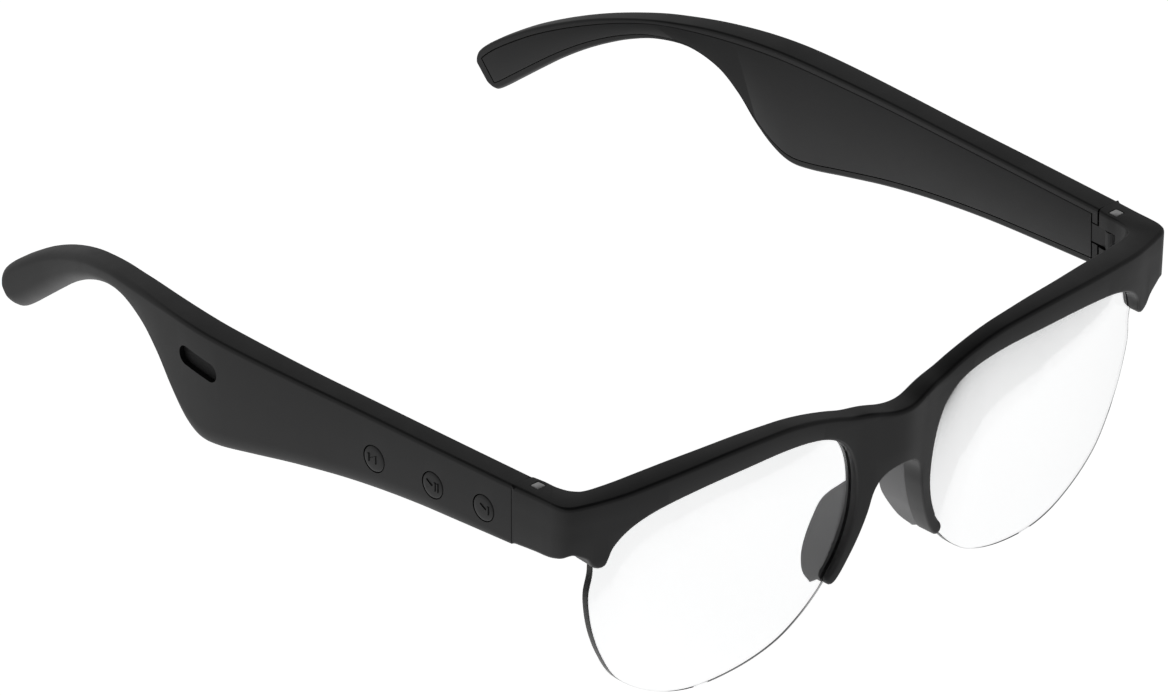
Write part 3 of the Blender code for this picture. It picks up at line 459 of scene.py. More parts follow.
def clear_lens(name):
    """Clear, coated lens plastic."""
    made = bpy.data.materials.new(name)
    made.use_nodes = True
    nodes, links = made.node_tree.nodes, made.node_tree.links
    shader = nodes["Principled BSDF"]
    shader.inputs["Base Color"].default_value = (0.985, 0.99, 0.992, 1)
    shader.inputs["IOR"].default_value = 1.5
    shader.inputs["Transmission Weight"].default_value = 1.0
    where = nodes.new("ShaderNodeTexCoord")
    film = nodes.new("ShaderNodeTexNoise")
    film.inputs["Scale"].default_value = 60
    film.inputs["Detail"].default_value = 6
    links.new(where.outputs["Object"], film.inputs["Vector"])
    haze = nodes.new("ShaderNodeMapRange")
    haze.inputs["From Min"].default_value = 0.35
    haze.inputs["From Max"].default_value = 0.8
    haze.inputs["To Min"].default_value = 0.0
    haze.inputs["To Max"].default_value = 0.025
    links.new(film.outputs["Fac"], haze.inputs["Value"])
    links.new(haze.outputs["Result"], shader.inputs["Roughness"])
    return made


lens_plastic = clear_lens("clear_lens_plastic")
for side, word in ((1, "left"), (-1, "right")):
    lens = solid(lens_slab(side, 0, 0.22, 0, 4), "clear_lens_" + word, 40)
    lens.data.materials.append(lens_plastic)
    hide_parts("lens_" + word)
    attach(lens, "front")

# ------------------------------------------------------------------ nose pads
# Soft smoky silicone pads, moulded as small rounded leaves and bonded along the rear of the
# nose arms. They are translucent, with a fine matt skin.

PAD_THICK = 1.4
PAD_SEAM = 0.05
PAD_REAR = [(-0.5, -19.3), (2.0, -21.8), (4.4, -24.8), (5.6, -28), (6.1, -31), (5.7, -33.8), (4.2, -36),
            (1.4, -37)]
PAD_FRONT = [-36.0, -32, -28, -24, -20, -17]
PAD_LINE = [(-36.3, 13.0), (-33.5, 11.7), (-30, 9.9), (-26, 8.5), (-21, 7.5), (-16, 7.2)]


def smoky_silicone(name):
    """Grey translucent silicone with a dusty matt skin."""
    made = bpy.data.materials.new(name)
    made.use_nodes = True
    nodes, links = made.node_tree.nodes, made.node_tree.links
    shader = nodes["Principled BSDF"]
    shader.inputs["IOR"].default_value = 1.41
    shader.inputs["Transmission Weight"].default_value = 0.1
    where = nodes.new("ShaderNodeTexCoord")
    cloud = nodes.new("ShaderNodeTexNoise")
    cloud.inputs["Scale"].default_value = 240
    cloud.inputs["Detail"].default_value = 4
    links.new(where.outputs["Object"], cloud.inputs["Vector"])
    tone = nodes.new("ShaderNodeMix")
    tone.data_type = "RGBA"
    tone.inputs[6].default_value = (0.045, 0.045, 0.047, 1)
    tone.inputs[7].default_value = (0.066, 0.066, 0.069, 1)
    links.new(cloud.outputs["Fac"], tone.inputs[0])
    skin = nodes.new("ShaderNodeMapRange")
    skin.inputs["To Min"].default_value = 0.42
    skin.inputs["To Max"].default_value = 0.58
    links.new(cloud.outputs["Fac"], skin.inputs["Value"])
    dust = nodes.new("ShaderNodeTexNoise")
    dust.inputs["Scale"].default_value = 5200
    links.new(where.outputs["Object"], dust.inputs["Vector"])
    matt = nodes.new("ShaderNodeBump")
    matt.inputs["Strength"].default_value = 0.4
    matt.inputs["Distance"].default_value = 0.00002
    links.new(dust.outputs["Fac"], matt.inputs["Height"])
    links.new(tone.outputs[2], shader.inputs["Base Color"])
    links.new(skin.outputs["Result"], shader.inputs["Roughness"])
    links.new(matt.outputs["Normal"], shader.inputs["Normal"])
    return made


def pad_side(side, offset):
    """One face of a pad, beside the middle line of its nose arm."""
    return lambda y, z: Vector((side * (reading(PAD_LINE, z, 1) + offset), y, z))


silicone = smoky_silicone("smoky_silicone")
pad_front = [(bar_rear(reading(PAD_LINE, z, 1), z).y + PAD_SEAM, z) for z in PAD_FRONT]
for side, word in ((1, "left"), (-1, "right")):
    pad_outline = flowing(PAD_REAR + pad_front, (PAD_REAR[-1], pad_front[0], pad_front[-1], PAD_REAR[0]), 0.5)
    pad = softened_slab(pad_outline, lambda point, out: ((0.55, 0.55), (0.55, 0.55)),
                        slices(range(-37, -17), (0, 0, 1)), pad_side(side, -PAD_THICK / 2),
                        pad_side(side, PAD_THICK / 2))
    pad = solid(pad, "silicone_pad_" + word, 50)
    pad.data.materials.append(silicone)
    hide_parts("nose_pad_" + word)
    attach(pad, "front")

# ------------------------------------------------------------------ hinge pins
# Each hinge turns on a stainless pin pressed through both ears of the end piece. Its square
# head lies flush in the ear's upper face and is brushed.


def brushed_steel(name, tone_low, tone_high, rough):
    """Stainless steel with fine brush lines running across."""
    made = bpy.data.materials.new(name)
    made.use_nodes = True
    nodes, links = made.node_tree.nodes, made.node_tree.links
    shader = nodes["Principled BSDF"]
    shader.inputs["Metallic"].default_value = 1.0
    where = nodes.new("ShaderNodeTexCoord")
    stretch = nodes.new("ShaderNodeMapping")
    stretch.inputs["Scale"].default_value = (900, 14000, 9000)
    links.new(where.outputs["Object"], stretch.inputs["Vector"])
    lines = nodes.new("ShaderNodeTexNoise")
    lines.inputs["Scale"].default_value = 1
    lines.inputs["Detail"].default_value = 4
    links.new(stretch.outputs["Vector"], lines.inputs["Vector"])
    tone = nodes.new("ShaderNodeMix")
    tone.data_type = "RGBA"
    tone.inputs[6].default_value = (*tone_low, 1)
    tone.inputs[7].default_value = (*tone_high, 1)
    links.new(lines.outputs["Fac"], tone.inputs[0])
    polish = nodes.new("ShaderNodeMapRange")
    polish.inputs["To Min"].default_value = rough - 0.08
    polish.inputs["To Max"].default_value = rough + 0.08
    links.new(lines.outputs["Fac"], polish.inputs["Value"])
    brush = nodes.new("ShaderNodeBump")
    brush.inputs["Strength"].default_value = 0.25
    brush.inputs["Distance"].default_value = 0.00001
    links.new(lines.outputs["Fac"], brush.inputs["Height"])
    links.new(tone.outputs[2], shader.inputs["Base Color"])
    links.new(polish.outputs["Result"], shader.inputs["Roughness"])
    links.new(brush.outputs["Normal"], shader.inputs["Normal"])
    return made


pin_steel = brushed_steel("pin_steel", (0.6, 0.6, 0.6), (0.78, 0.78, 0.78), 0.38)
for side, word in ((1, "left"), (-1, "right")):
    pin = solid(on_side(pin_shape(0, 0.12), side), "steel_pin_" + word, 25)
    pin.data.materials.append(pin_steel)
    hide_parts("hinge_pin_" + word)
    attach(pin, "front")

# ------------------------------------------------------------------ hinge arms and screws
# The temple's half of each hinge is a steel casting with a matt black coat: a barrel round the pin and a
# foot that two small screws hold against the inside of the temple's outer wall.

arm_steel = moulded_black("coated_steel", 0.3)
screw_steel = brushed_steel("screw_steel", (0.3, 0.3, 0.3), (0.45, 0.45, 0.44), 0.3)
for word in ("left", "right"):
    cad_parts["hinge_arm_" + word].data.materials.clear()
    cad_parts["hinge_arm_" + word].data.materials.append(arm_steel)
    for number in (1, 2):
        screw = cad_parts[f"hinge_screw_{word}_{number}"]
        screw.data.materials.clear()
        screw.data.materials.append(screw_steel)

# ------------------------------------------------------------------ temple shells
# Each temple is a long moulded tray of the same black nylon with the ear hook moulded on. It
# is open on the head side, where a thin cover closes it, and is softly rounded below.

TEMPLE_TOP = [(12.1, 0), (26, 0), (40, 0), (54, 0), (67, 0), (78, 0), (86, 0), (92.5, 0), (98, -0.1),
              (103, -0.3), (108, -0.65), (113, -1.25), (118, -2.0), (123, -3.1), (128, -4.5),
              (133, -6.3), (138, -8.5), (143, -11.1), (147.5, -13.9), (151.5, -16.7), (154.2, -19.1),
              (155.1, -20.6), (155.2, -22.0)]
TEMPLE_BOTTOM = [(12.1, -11.5), (26, -12.4), (40, -13.4), (53, -14.9), (65, -16.9), (76, -19.2),
                 (84, -20.9), (89, -21.2), (93, -19.4), (96.8, -15.9), (100.2, -11.6), (104.5, -7.7),
                 (110.5, -5.4), (117, -5.6), (122.5, -7.2), (127.5, -9.5), (132, -12.1), (136.5, -15.2),
                 (141, -18.7), (145.5, -22.3), (149.2, -25.2), (150.7, -25.7), (152.6, -25.0)]
# Plan of a temple: distance back, outer face beyond the front's half width, thickness
TEMPLE_PLAN = [(12.1, 0.35, 5.0), (30, 0.75, 5.0), (50, 1.1, 5.0), (65, 1.55, 5.2), (80, 1.75, 5.6),
               (90, 1.3, 5.6), (100, -0.25, 5.3), (110, -2.55, 5.0), (120, -5.35, 4.8),
               (130, -8.35, 4.7), (140, -10.85, 4.6), (150, -12.45, 4.4), (155.2, -13.15, 4.0)]
HALF_WIDTH = 72.75
SHOULDER = 12.1
TEMPLE_WALL = 1.0
RIM = 1.3
COVER_THICK = 1.0
HOLLOW_IN = 1.6
HOLLOW_CHAMFER = 0.8
HOLLOW_END = 9.3
COVER_END = 20.4
LAST_STATION = 22.0
ROUND_STEPS = 8
LARGEST_ROUND = 0.42
SHOULDER_ROUND = 0.8
SHOULDER_LENGTH = 1.5
LOWER_ROUND = 3.0
LOWER_FLATNESS = 0.3
UPPER_ROUND = 0.8
INNER_ROUND = 0.6
HOOK_START = 8
HOOK_FULL = 13
VENT_AT = (89.2, -6.7)
VENT_HALF = 3.35
VENT_RADIUS = 1.8
VENT_SLOPE = 4.5
BUTTONS = {}
for name in ("next", "play", "previous"):
    low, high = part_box("button_" + name)
    middle = (low + high) * 500
    BUTTONS[name] = (middle.y + DRAWN_BACK, middle.z - DRAWN_UP)
BUTTON_RADIUS = 2.45
BUTTON_GAP = 0.15
MIC_BACK = 25.3
MIC_LOW = -9.1
MIC_PORT = 0.5


def outside(y):
    """The temple's outer face in plan."""
    return HALF_WIDTH + reading(TEMPLE_PLAN, y, 1)


def through(y):
    """The temple's thickness in plan."""
    return reading(TEMPLE_PLAN, y, 2)


def edge_of_temple(points, station):
    """The point at a station on the temple's upper or lower edge."""
    rows = [(i, *point) for i, point in enumerate(points)]
    return Vector((reading(rows, station, 1), reading(rows, station, 2)))


def spot(station, level, depth, from_inside=False):
    """A point of the temple at a height over its lower edge and a depth under its outer face.

    A negative level counts down from the upper edge; from_inside counts the depth outwards from
    the inner face.
    """
    start = edge_of_temple(TEMPLE_BOTTOM, station)
    rise = edge_of_temple(TEMPLE_TOP, station) - start
    height = level if level >= 0 else rise.length + level
    y, z = start + rise * (height / rise.length)
    if from_inside:
        depth = through(y) - depth
    return Vector((outside(y) - depth, y, z))


def rounded_corner(station, upper, inside, radius, flatness=1.0):
    """The points of one corner of the temple's section, from its edge round to its face."""
    points = []
    for i in range(ROUND_STEPS + 1):
        angle = math.pi / 2 * i / ROUND_STEPS
        off_face = flatness * radius * (1 - math.sin(angle))
        off_edge = radius * (1 - math.cos(angle))
        points.append(spot(station, -max(off_edge, 1e-4) if upper else off_edge, off_face, inside))
    return points


def shell_ring(station):
    """The shell's section at a station, with the rim's two edges on its inner face."""
    rise = edge_of_temple(TEMPLE_TOP, station) - edge_of_temple(TEMPLE_BOTTOM, station)
    limit = LARGEST_ROUND * rise.length
    share = min(max((station - HOOK_START) / (HOOK_FULL - HOOK_START), 0), 1)
    lower = SHOULDER_ROUND + (LOWER_ROUND - SHOULDER_ROUND) * min(station / SHOULDER_LENGTH, 1)
    lower, upper, inner = min(lower, limit), min(UPPER_ROUND + share, limit), min(INNER_ROUND, limit)
    flatness = LOWER_FLATNESS + (1 - LOWER_FLATNESS) * share
    return (rounded_corner(station, False, False, lower, flatness)
            + rounded_corner(station, True, False, upper)[::-1]
            + rounded_corner(station, True, True, inner)
            + [spot(station, -RIM, 0, True), spot(station, RIM, 0, True)]
            + rounded_corner(station, False, True, inner)[::-1])


def seat_ring(station):
    """The cover's seat at a station: its floor, with the hollow's edges on it."""
    depth = COVER_THICK + SEAT_GAP
    return [spot(station, -RIM, depth, True), spot(station, -HOLLOW_IN, depth, True),
            spot(station, HOLLOW_IN, depth, True), spot(station, RIM, depth, True)]


def hollow_ring(station):
    """The bottom of the hollow at a station."""
    return [spot(station, -HOLLOW_IN, TEMPLE_WALL), spot(station, HOLLOW_IN + HOLLOW_CHAMFER, TEMPLE_WALL),
            spot(station, HOLLOW_IN, TEMPLE_WALL + HOLLOW_CHAMFER)]


def stations(start, end, step=0.125):
    """Stations from one place to another."""
    count = max(1, round((end - start) / step))
    return [start + (end - start) * i / count for i in range(count + 1)]


def front_station(distance):
    """The station at a distance behind the temple's front end, on its first straight stretch."""
    return distance / (TEMPLE_TOP[1][0] - TEMPLE_TOP[0][0])


def temple_tray():
    """The shell for the wearer's left: a closed skin with the seat and the hollow let into it."""
    first = front_station(RIM)
    line = [0] + stations(first, HOLLOW_END) + stations(HOLLOW_END, COVER_END)[1:]
    line += stations(COVER_END, LAST_STATION - 0.35)[1:]
    bm = bmesh.new()
    worn = bm.verts.layers.float.new("edge")
    rim = 3 * (ROUND_STEPS + 1)
    wear = [0.0] * (4 * (ROUND_STEPS + 1) + 2)
    for start in (ROUND_STEPS + 1, 2 * (ROUND_STEPS + 1), rim + 2):
        for i in range(ROUND_STEPS + 1):
            wear[start + i] = math.sin(math.pi * i / ROUND_STEPS)

    def new_ring(points):
        ring = [bm.verts.new(point) for point in points]
        for vert, amount in zip(ring, wear):
            vert[worn] = amount
        return ring

    rings, seats, hollows = [], [], []
    for station in line:
        rings.append(new_ring(shell_ring(station)))
        seated = first <= station <= COVER_END
        seats.append([bm.verts.new(point) for point in seat_ring(station)] if seated else None)
        deep = first <= station <= HOLLOW_END
        hollows.append([bm.verts.new(point) for point in hollow_ring(station)] if deep else None)
    tip, base = shell_ring(LAST_STATION), shell_ring(line[-1])
    for k in range(1, 8):
        turn = math.pi / 2 * k / 7
        points = [b.lerp(t, math.sin(turn)) for b, t in zip(base, tip)]
        middle = sum(points, Vector()) / len(points)
        rings.append(new_ring([middle.lerp(p, 1 - 0.45 * (1 - math.cos(turn))) for p in points]))
        seats.append(None)
        hollows.append(None)

    def strip(near, far):
        for a, b, c, d in zip(near, near[1:], far[1:], far):
            bm.faces.new((a, b, c, d))

    for k in range(len(rings) - 1):
        ring, after = rings[k], rings[k + 1]
        seat, seat_after = seats[k], seats[k + 1]
        hollow, hollow_after = hollows[k], hollows[k + 1]
        strip(ring[rim + 1:] + ring[:rim + 1], after[rim + 1:] + after[:rim + 1])
        if not (seat and seat_after):
            strip(ring[rim:rim + 2], after[rim:rim + 2])
            continue
        strip([ring[rim]] + seat[:2], [after[rim]] + seat_after[:2])
        strip(seat[2:] + [ring[rim + 1]], seat_after[2:] + [after[rim + 1]])
        if hollow and hollow_after:
            strip([seat[1]] + hollow + [seat[2]], [seat_after[1]] + hollow_after + [seat_after[2]])
        else:
            strip(seat[1:3], seat_after[1:3])
    bm.faces.new(rings[0])
    bm.faces.new(rings[-1])
    ends = [k for k, seat in enumerate(seats) if seat]
    for k in (ends[0], ends[-1]):
        bm.faces.new([rings[k][rim], *seats[k], rings[k][rim + 1]])
    ends = [k for k, hollow in enumerate(hollows) if hollow]
    for k in (ends[0], ends[-1]):
        bm.faces.new([seats[k][1], *hollows[k], seats[k][2]])
    return bm


def turned(profile, centre, axis, sides):
    """A solid turned round an axis from (distance along it, radius) points."""
    axis = Vector(axis)
    across = axis.orthogonal().normalized()
    up = axis.cross(across)
    spokes = [across * math.cos(2 * math.pi * i / sides) + up * math.sin(2 * math.pi * i / sides)
              for i in range(sides)]
    return loft([[Vector(centre) + axis * reach + spoke * radius for spoke in spokes]
                 for reach, radius in profile])


def vent_plan(radius, steps=24):
    """The pill outline of the sound outlet, as distance back and height."""
    points = arc((VENT_HALF, 0), radius, -90, 90, steps) + arc((-VENT_HALF, 0), radius, 90, 270, steps)
    turn = math.radians(VENT_SLOPE)
    return [(VENT_AT[0] + p * math.cos(turn) - q * math.sin(turn),
             VENT_AT[1] + p * math.sin(turn) + q * math.cos(turn)) for p, q in points]


def vent_well(radius, shallow, deep):
    """The pill outline given a depth under the outer face."""
    return loft([[(outside(y) - depth, y, z) for y, z in vent_plan(radius)] for depth in (shallow, deep)])


def plain_block(low, high):
    """A block between two corners, for cutting slots."""
    return loft([[(x, low[1], low[2]), (x, high[1], low[2]), (x, high[1], high[2]), (x, low[1], high[2])]
                 for x in (low[0], high[0])])


shell_black = moulded_black("black_nylon_temples")
for side, word in ((1, "left"), (-1, "right")):
    shell = solid(on_side(temple_tray(), side), "temple_tray_" + word)
    tongue = plain_block((PIN_X - TONGUE_INNER - SEAT_GAP, SHOULDER - 1, TONGUE_FOOT),
                         (PIN_X + TONGUE_OUTER + SEAT_GAP, SHOULDER + RIM + 1, TONGUE_TOP))
    shell_cutters = [solid(on_side(tongue, side), "slot"),
                     solid(on_side(vent_well(VENT_RADIUS, -1, TEMPLE_WALL + 1), side), "vent")]
    if side < 0:
        for y, z in BUTTONS.values():
            hole = turned([(-1, BUTTON_RADIUS + BUTTON_GAP), (TEMPLE_WALL + 1, BUTTON_RADIUS + BUTTON_GAP)],
                          (outside(y), y, z), (-1, 0, 0), 64)
            shell_cutters.append(solid(on_side(hole, side), "button_hole"))
        port_x = outside(MIC_BACK) - through(MIC_BACK) / 2
        port = turned([(0, MIC_PORT), (60, MIC_PORT)], (port_x, MIC_BACK, MIC_LOW), (0, 0, -1), 24)
        shell_cutters.append(solid(on_side(port, side), "microphone_port"))
    carved(shell, shell_cutters)
    shell.data.materials.clear()
    shell.data.materials.append(shell_black)
    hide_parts("temple_shell_" + word)
    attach(shell, "temple_" + word)

# ------------------------------------------------------------------ inner covers
# A thin moulded strip snaps into the seat on the head side of each temple and hides the
# electronics. A fine groove runs all the way round it.

COVER_EDGE = 0.15
COVER_GAP = 0.12
CONTACT_HOLE = 1.15
CONTACT_Z = -6.0


def cover_strip():
    """The cover for the wearer's left, with its visible edges broken."""
    rings = []
    edge = RIM + COVER_GAP
    for station in stations(front_station(RIM + SEAT_GAP), COVER_END - 0.15):
        ring = [spot(station, edge, COVER_THICK, True), spot(station, -edge, COVER_THICK, True)]
        for upper in (True, False):
            corner = []
            for i in range(4):
                angle = math.pi / 2 * i / 3
                level = edge + COVER_EDGE * (1 - math.cos(angle))
                depth = COVER_EDGE * (1 - math.sin(angle))
                corner.append(spot(station, -level if upper else level, depth, True))
            ring += corner if upper else corner[::-1]
        rings.append(ring)
    return loft(rings)


for side, word in ((1, "left"), (-1, "right")):
    cover = solid(on_side(cover_strip(), side), "head_side_cover_" + word)
    if side < 0:
        holes = []
        for number in (1, 2):
            low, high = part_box(f"charge_contact_{number}")
            y = (low.y + high.y) * 500 + DRAWN_BACK
            hole = turned([(through(y) - 3, CONTACT_HOLE), (through(y) + 1, CONTACT_HOLE)],
                          (outside(y), y, CONTACT_Z), (-1, 0, 0), 40)
            holes.append(solid(on_side(hole, side), "contact_hole"))
        carved(cover, holes)
    cover.data.materials.clear()
    cover.data.materials.append(shell_black)
    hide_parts("inner_cover_" + word)
    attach(cover, "temple_" + word)

# ------------------------------------------------------------------ buttons
# Three round push buttons in a row on the wearer's right, moulded in the same black nylon.
# Each has a slightly crowned top with a raised sign: skip back, play or pause, skip on.

BUTTON_PROUD = 0.1
BUTTON_WALL = 0.2
BUTTON_FLANGE = 0.4
BUTTON_FLANGE_RIM = 0.25
SIGN_HIGH = 0.17
SIGN_BEVEL = 0.12
SIGN_SCALE = 1.12
triangle_right = [(-0.75, -0.85), (0.75, 0.0), (-0.75, 0.85)]
SIGNS = {
    "previous": [[(x * -0.9 - 0.1, y * 0.9) for x, y in triangle_right][::-1],
                 [(-1.25, -0.75), (-0.95, -0.75), (-0.95, 0.75), (-1.25, 0.75)]],
    "play": [[(x * 0.9 - 0.55, y * 0.95) for x, y in triangle_right],
             [(0.45, -0.8), (0.75, -0.8), (0.75, 0.8), (0.45, 0.8)],
             [(1.05, -0.8), (1.35, -0.8), (1.35, 0.8), (1.05, 0.8)]],
    "next": [[(x * 0.9 + 0.1, y * 0.9) for x, y in triangle_right],
             [(0.95, -0.75), (1.25, -0.75), (1.25, 0.75), (0.95, 0.75)]],
}


def button_body(y, z):
    """A button's crowned disc with its hidden flange, turned about its own axis."""
    deep = TEMPLE_WALL + BUTTON_WALL
    profile = [(-BUTTON_PROUD - 0.05, 0.02), (-BUTTON_PROUD - 0.045, 0.9), (-BUTTON_PROUD - 0.025, 1.7),
               (-BUTTON_PROUD + 0.01, 2.1), (-BUTTON_PROUD + 0.06, 2.3), (-BUTTON_PROUD + 0.15, 2.41),
               (-BUTTON_PROUD + 0.3, BUTTON_RADIUS), (deep, BUTTON_RADIUS),
               (deep, BUTTON_RADIUS + BUTTON_FLANGE_RIM),
               (deep + BUTTON_FLANGE, BUTTON_RADIUS + BUTTON_FLANGE_RIM)]
    return turned(profile, (outside(y), y, z), (-1, 0, 0), 72)


def sign_shape(bm, outline, y, z):
    """A raised sign with a narrow slope all round, added on a button's top."""
    middle = sum((Vector(p) for p in outline), Vector((0, 0))) / len(outline)
    levels = []
    for height, shrink in ((-0.1, 0.0), (0.02, 0.0), (SIGN_HIGH, SIGN_BEVEL)):
        ring = []
        for p in outline:
            p = Vector(p) * SIGN_SCALE
            p -= (p - middle * SIGN_SCALE).normalized() * shrink
            ring.append(bm.verts.new((outside(y) + BUTTON_PROUD + 0.05 + height, y - p.x, z + p.y)))
        levels.append(ring)
    for near, far in zip(levels, levels[1:]):
        for i in range(len(near)):
            j = (i + 1) % len(near)
            bm.faces.new((near[i], near[j], far[j], far[i]))
    bm.faces.new(levels[0])
    bm.faces.new(levels[-1])


button_black = moulded_black("black_nylon_buttons", 0.3, 0.04)
for name, (y, z) in BUTTONS.items():
    shape = button_body(y, z)
    for outline in SIGNS[name]:
        sign_shape(shape, outline, y, z)
    button = solid(on_side(shape, -1), "push_button_" + name, 25)
    button.data.materials.append(button_black)
    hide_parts("button_" + name)
    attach(button, name + "_button")

# ------------------------------------------------------------------ sound outlets
# The speaker's outlet near the ear hook is covered from inside with a fine woven mesh, stuck
# down under the wall so that it lies at the bottom of a pill-shaped well.

CLOTH_LAP = 0.5
CLOTH_DEEP = 1.15
CLOTH_THICK = 0.3


def woven_mesh(name):
    """Black acoustic cloth of a fine plain weave."""
    made = bpy.data.materials.new(name)
    made.use_nodes = True
    nodes, links = made.node_tree.nodes, made.node_tree.links
    shader = nodes["Principled BSDF"]
    shader.inputs["Roughness"].default_value = 0.7
    where = nodes.new("ShaderNodeTexCoord")
    threads = []
    for direction in ("Y", "Z"):
        wave = nodes.new("ShaderNodeTexWave")
        wave.bands_direction = direction
        wave.inputs["Scale"].default_value = 1500
        wave.inputs["Distortion"].default_value = 0.6
        wave.inputs["Detail"].default_value = 1
        links.new(where.outputs["Object"], wave.inputs["Vector"])
        threads.append(wave)
    cross = nodes.new("ShaderNodeMath")
    cross.operation = "MULTIPLY"
    links.new(threads[0].outputs["Fac"], cross.inputs[0])
    links.new(threads[1].outputs["Fac"], cross.inputs[1])
    tone = nodes.new("ShaderNodeMix")
    tone.data_type = "RGBA"
    tone.inputs[6].default_value = (0.002, 0.002, 0.002, 1)
    tone.inputs[7].default_value = (0.02, 0.02, 0.021, 1)
    links.new(cross.outputs[0], tone.inputs[0])
    weave = nodes.new("ShaderNodeBump")
    weave.inputs["Strength"].default_value = 0.5
    weave.inputs["Distance"].default_value = 0.00004
    links.new(cross.outputs[0], weave.inputs["Height"])
    links.new(tone.outputs[2], shader.inputs["Base Color"])
    links.new(weave.outputs["Normal"], shader.inputs["Normal"])
    return made


cloth = woven_mesh("acoustic_cloth")
for side, word in ((1, "left"), (-1, "right")):
    rings = []
    rows = 10
    for k in range(rows + 1):
        share = k / rows
        ring = []
        for y, z in vent_plan(VENT_RADIUS + CLOTH_LAP):
            y, z = VENT_AT[0] + (y - VENT_AT[0]) * share, VENT_AT[1] + (z - VENT_AT[1]) * share
            sag = 0.12 * (1 - share * share)
            ring.append((outside(y) - CLOTH_DEEP - sag, y, z))
        if not k:
            ring = [(x, y + 0.01 * math.cos(i), z + 0.01 * math.sin(i)) for i, (x, y, z) in enumerate(ring)]
        rings.append(ring)
    rings.append([(x - CLOTH_THICK, y, z) for x, y, z in rings[-1]])
    mesh_piece = solid(on_side(loft(rings), side), "outlet_cloth_" + word, 60)
    mesh_piece.data.materials.append(cloth)
    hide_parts("vent_mesh_" + word)
    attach(mesh_piece, "temple_" + word)

# ------------------------------------------------------------------ electronics
# Inside each temple: a narrow circuit board under the buttons, a flat foil-wrapped battery and
# a small speaker behind the sound outlet; on the right also three switches and a microphone.


def patterned(name, low, high, scale, rough, metal, bump):
    """A finish for a part inside the temple: two tones in small patches over a slight relief."""
    made = bpy.data.materials.new(name)
    made.use_nodes = True
    nodes, links = made.node_tree.nodes, made.node_tree.links
    shader = nodes["Principled BSDF"]
    shader.inputs["Metallic"].default_value = metal
    where = nodes.new("ShaderNodeTexCoord")
    cells = nodes.new("ShaderNodeTexVoronoi")
    cells.distance = "CHEBYCHEV"
    cells.inputs["Scale"].default_value = scale
    links.new(where.outputs["Object"], cells.inputs["Vector"])
    tone = nodes.new("ShaderNodeMix")
    tone.data_type = "RGBA"
    tone.inputs[6].default_value = (*low, 1)
    tone.inputs[7].default_value = (*high, 1)
    links.new(cells.outputs["Distance"], tone.inputs[0])
    polish = nodes.new("ShaderNodeMapRange")
    polish.inputs["To Min"].default_value = rough - 0.08
    polish.inputs["To Max"].default_value = rough + 0.1
    links.new(cells.outputs["Distance"], polish.inputs["Value"])
    relief = nodes.new("ShaderNodeBump")
    relief.inputs["Strength"].default_value = bump
    relief.inputs["Distance"].default_value = 0.00005
    links.new(cells.outputs["Distance"], relief.inputs["Height"])
    links.new(tone.outputs[2], shader.inputs["Base Color"])
    links.new(polish.outputs["Result"], shader.inputs["Roughness"])
    links.new(relief.outputs["Normal"], shader.inputs["Normal"])
    return made


inside_finishes = {
    "circuit_board": patterned("board_green", (0.004, 0.05, 0.02), (0.02, 0.11, 0.05), 900, 0.4, 0.0, 0.4),
    "battery": patterned("battery_foil", (0.45, 0.46, 0.48), (0.62, 0.63, 0.65), 260, 0.34, 1.0, 0.25),
    "speaker": patterned("speaker_can", (0.02, 0.02, 0.022), (0.05, 0.05, 0.055), 700, 0.45, 0.6, 0.2),
    "switch": patterned("switch_can", (0.3, 0.3, 0.3), (0.5, 0.5, 0.5), 1100, 0.35, 1.0, 0.2),
    "microphone": patterned("microphone_can", (0.3, 0.28, 0.2), (0.5, 0.47, 0.36), 1100, 0.35, 1.0, 0.2),
    "charge_contact": patterned("contact_gold", (0.7, 0.48, 0.16), (0.85, 0.62, 0.26), 1500, 0.26, 1.0, 0.08),
}
for node_name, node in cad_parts.items():
    for start, finish in inside_finishes.items():
        if node_name.startswith(start):
            node.data.materials.clear()
            node.data.materials.append(finish)

# ------------------------------------------------------------------ table and light
# The glasses stand on a plain white sweep under a broad soft light. Above the horizon the room
# darkens, which draws the thin dark line along the upper edges.

FLOOR_HALF = 3.0


def white_sweep():
    """A large floor with a finely mottled white finish."""
    made = bpy.data.materials.new("white_sweep")
    made.use_nodes = True
    nodes, links = made.node_tree.nodes, made.node_tree.links
    shader = nodes["Principled BSDF"]
    shader.inputs["Specular IOR Level"].default_value = 0.1
    shader.inputs["Roughness"].default_value = 0.9
    where = nodes.new("ShaderNodeTexCoord")
    paper = nodes.new("ShaderNodeTexNoise")
    paper.inputs["Scale"].default_value = 40
    links.new(where.outputs["Object"], paper.inputs["Vector"])
    tone = nodes.new("ShaderNodeMix")
    tone.data_type = "RGBA"
    tone.inputs[6].default_value = (0.93, 0.93, 0.93, 1)
    tone.inputs[7].default_value = (0.95, 0.95, 0.95, 1)
    links.new(paper.outputs["Fac"], tone.inputs[0])
    links.new(tone.outputs[2], shader.inputs["Base Color"])
    links.new(tone.outputs[2], shader.inputs["Emission Color"])
    shader.inputs["Emission Strength"].default_value = 0.97
    return made


sweep = bmesh.new()
corners = [(-FLOOR_HALF, -FLOOR_HALF), (FLOOR_HALF, -FLOOR_HALF), (FLOOR_HALF, FLOOR_HALF),
           (-FLOOR_HALF, FLOOR_HALF)]
sweep.faces.new([sweep.verts.new((x, y, cad_low.z)) for x, y in corners])
floor_mesh = bpy.data.meshes.new("floor")
sweep.to_mesh(floor_mesh)
sweep.free()
floor_mesh.materials.append(white_sweep())
floor = bpy.data.objects.new("floor", floor_mesh)
bpy.context.scene.collection.objects.link(floor)
floor.visible_glossy = False

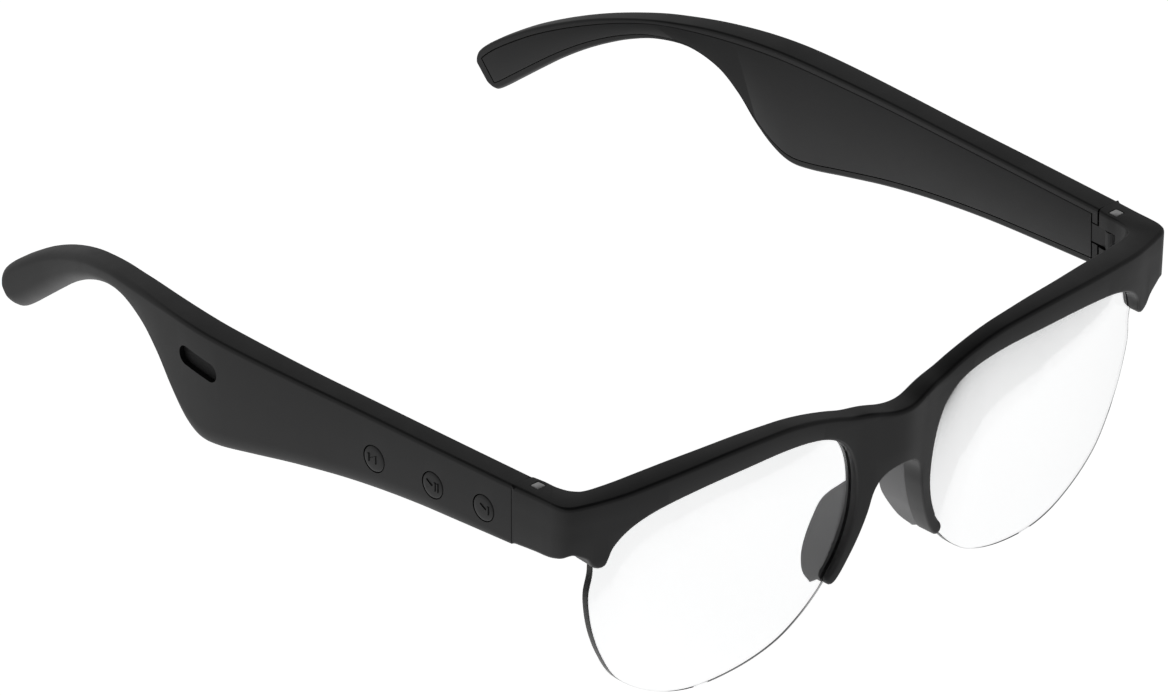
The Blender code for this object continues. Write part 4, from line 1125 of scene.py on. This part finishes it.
room = bpy.data.worlds.new("room")
bpy.context.scene.world = room
room.use_nodes = True
nodes, links = room.node_tree.nodes, room.node_tree.links
aim = nodes.new("ShaderNodeTexCoord")
parts = nodes.new("ShaderNodeSeparateXYZ")
bands = nodes.new("ShaderNodeValToRGB")
links.new(aim.outputs["Generated"], parts.inputs[0])
height = nodes.new("ShaderNodeMapRange")
height.inputs["From Min"].default_value = -1
height.inputs["From Max"].default_value = 1
links.new(parts.outputs["Z"], height.inputs["Value"])
links.new(height.outputs["Result"], bands.inputs["Fac"])
links.new(bands.outputs["Color"], nodes["Background"].inputs["Color"])
toward_back = nodes.new("ShaderNodeVectorMath")
toward_back.operation = "DOT_PRODUCT"
toward_back.inputs[1].default_value = (-0.69, 0.72, 0)
links.new(aim.outputs["Generated"], toward_back.inputs[0])
falloff = nodes.new("ShaderNodeMapRange")
falloff.inputs["From Min"].default_value = -1
falloff.inputs["From Max"].default_value = 1
falloff.inputs["To Min"].default_value = 0.55
falloff.inputs["To Max"].default_value = 1.05
links.new(toward_back.outputs["Value"], falloff.inputs["Value"])
links.new(falloff.outputs["Result"], nodes["Background"].inputs["Strength"])
ramp = bands.color_ramp
ramp.elements[0].position = 0.0
ramp.elements[0].color = (1.2, 1.2, 1.2, 1)
ramp.elements[1].position = 1.0
ramp.elements[1].color = (0.06, 0.06, 0.06, 1)
for position, grey in ((0.15, 0.8), (0.35, 0.42), (0.5, 0.4), (0.8, 0.4), (0.86, 0.05)):
    stop = ramp.elements.new(position)
    stop.color = (grey, grey, grey, 1)

# The camera looks down over the wearer's right temple from a good distance
AROUND = math.radians(43.965)
ABOVE = math.radians(29.02)
AWAY = 5.021
right = Vector((math.cos(AROUND), -math.sin(AROUND), 0))
upward = Vector((math.sin(AROUND) * math.sin(ABOVE), math.cos(AROUND) * math.sin(ABOVE), math.cos(ABOVE)))
back = Vector((-math.sin(AROUND) * math.cos(ABOVE), -math.cos(AROUND) * math.cos(ABOVE), math.sin(ABOVE)))
drawn_aim = right * -48.546 + upward * 3.115
camera_data = bpy.data.cameras.new("camera")
camera_data.lens = 900
camera_data.sensor_width = 36
camera_data.clip_end = 60
camera = bpy.data.objects.new("camera", camera_data)
bpy.context.scene.collection.objects.link(camera)
camera.location = placed(*drawn_aim) + back * AWAY
camera.rotation_mode = "QUATERNION"
camera.rotation_quaternion = (-back).to_track_quat("-Z", "Y")
bpy.context.scene.camera = camera
bpy.context.scene.view_settings.view_transform = "Standard"
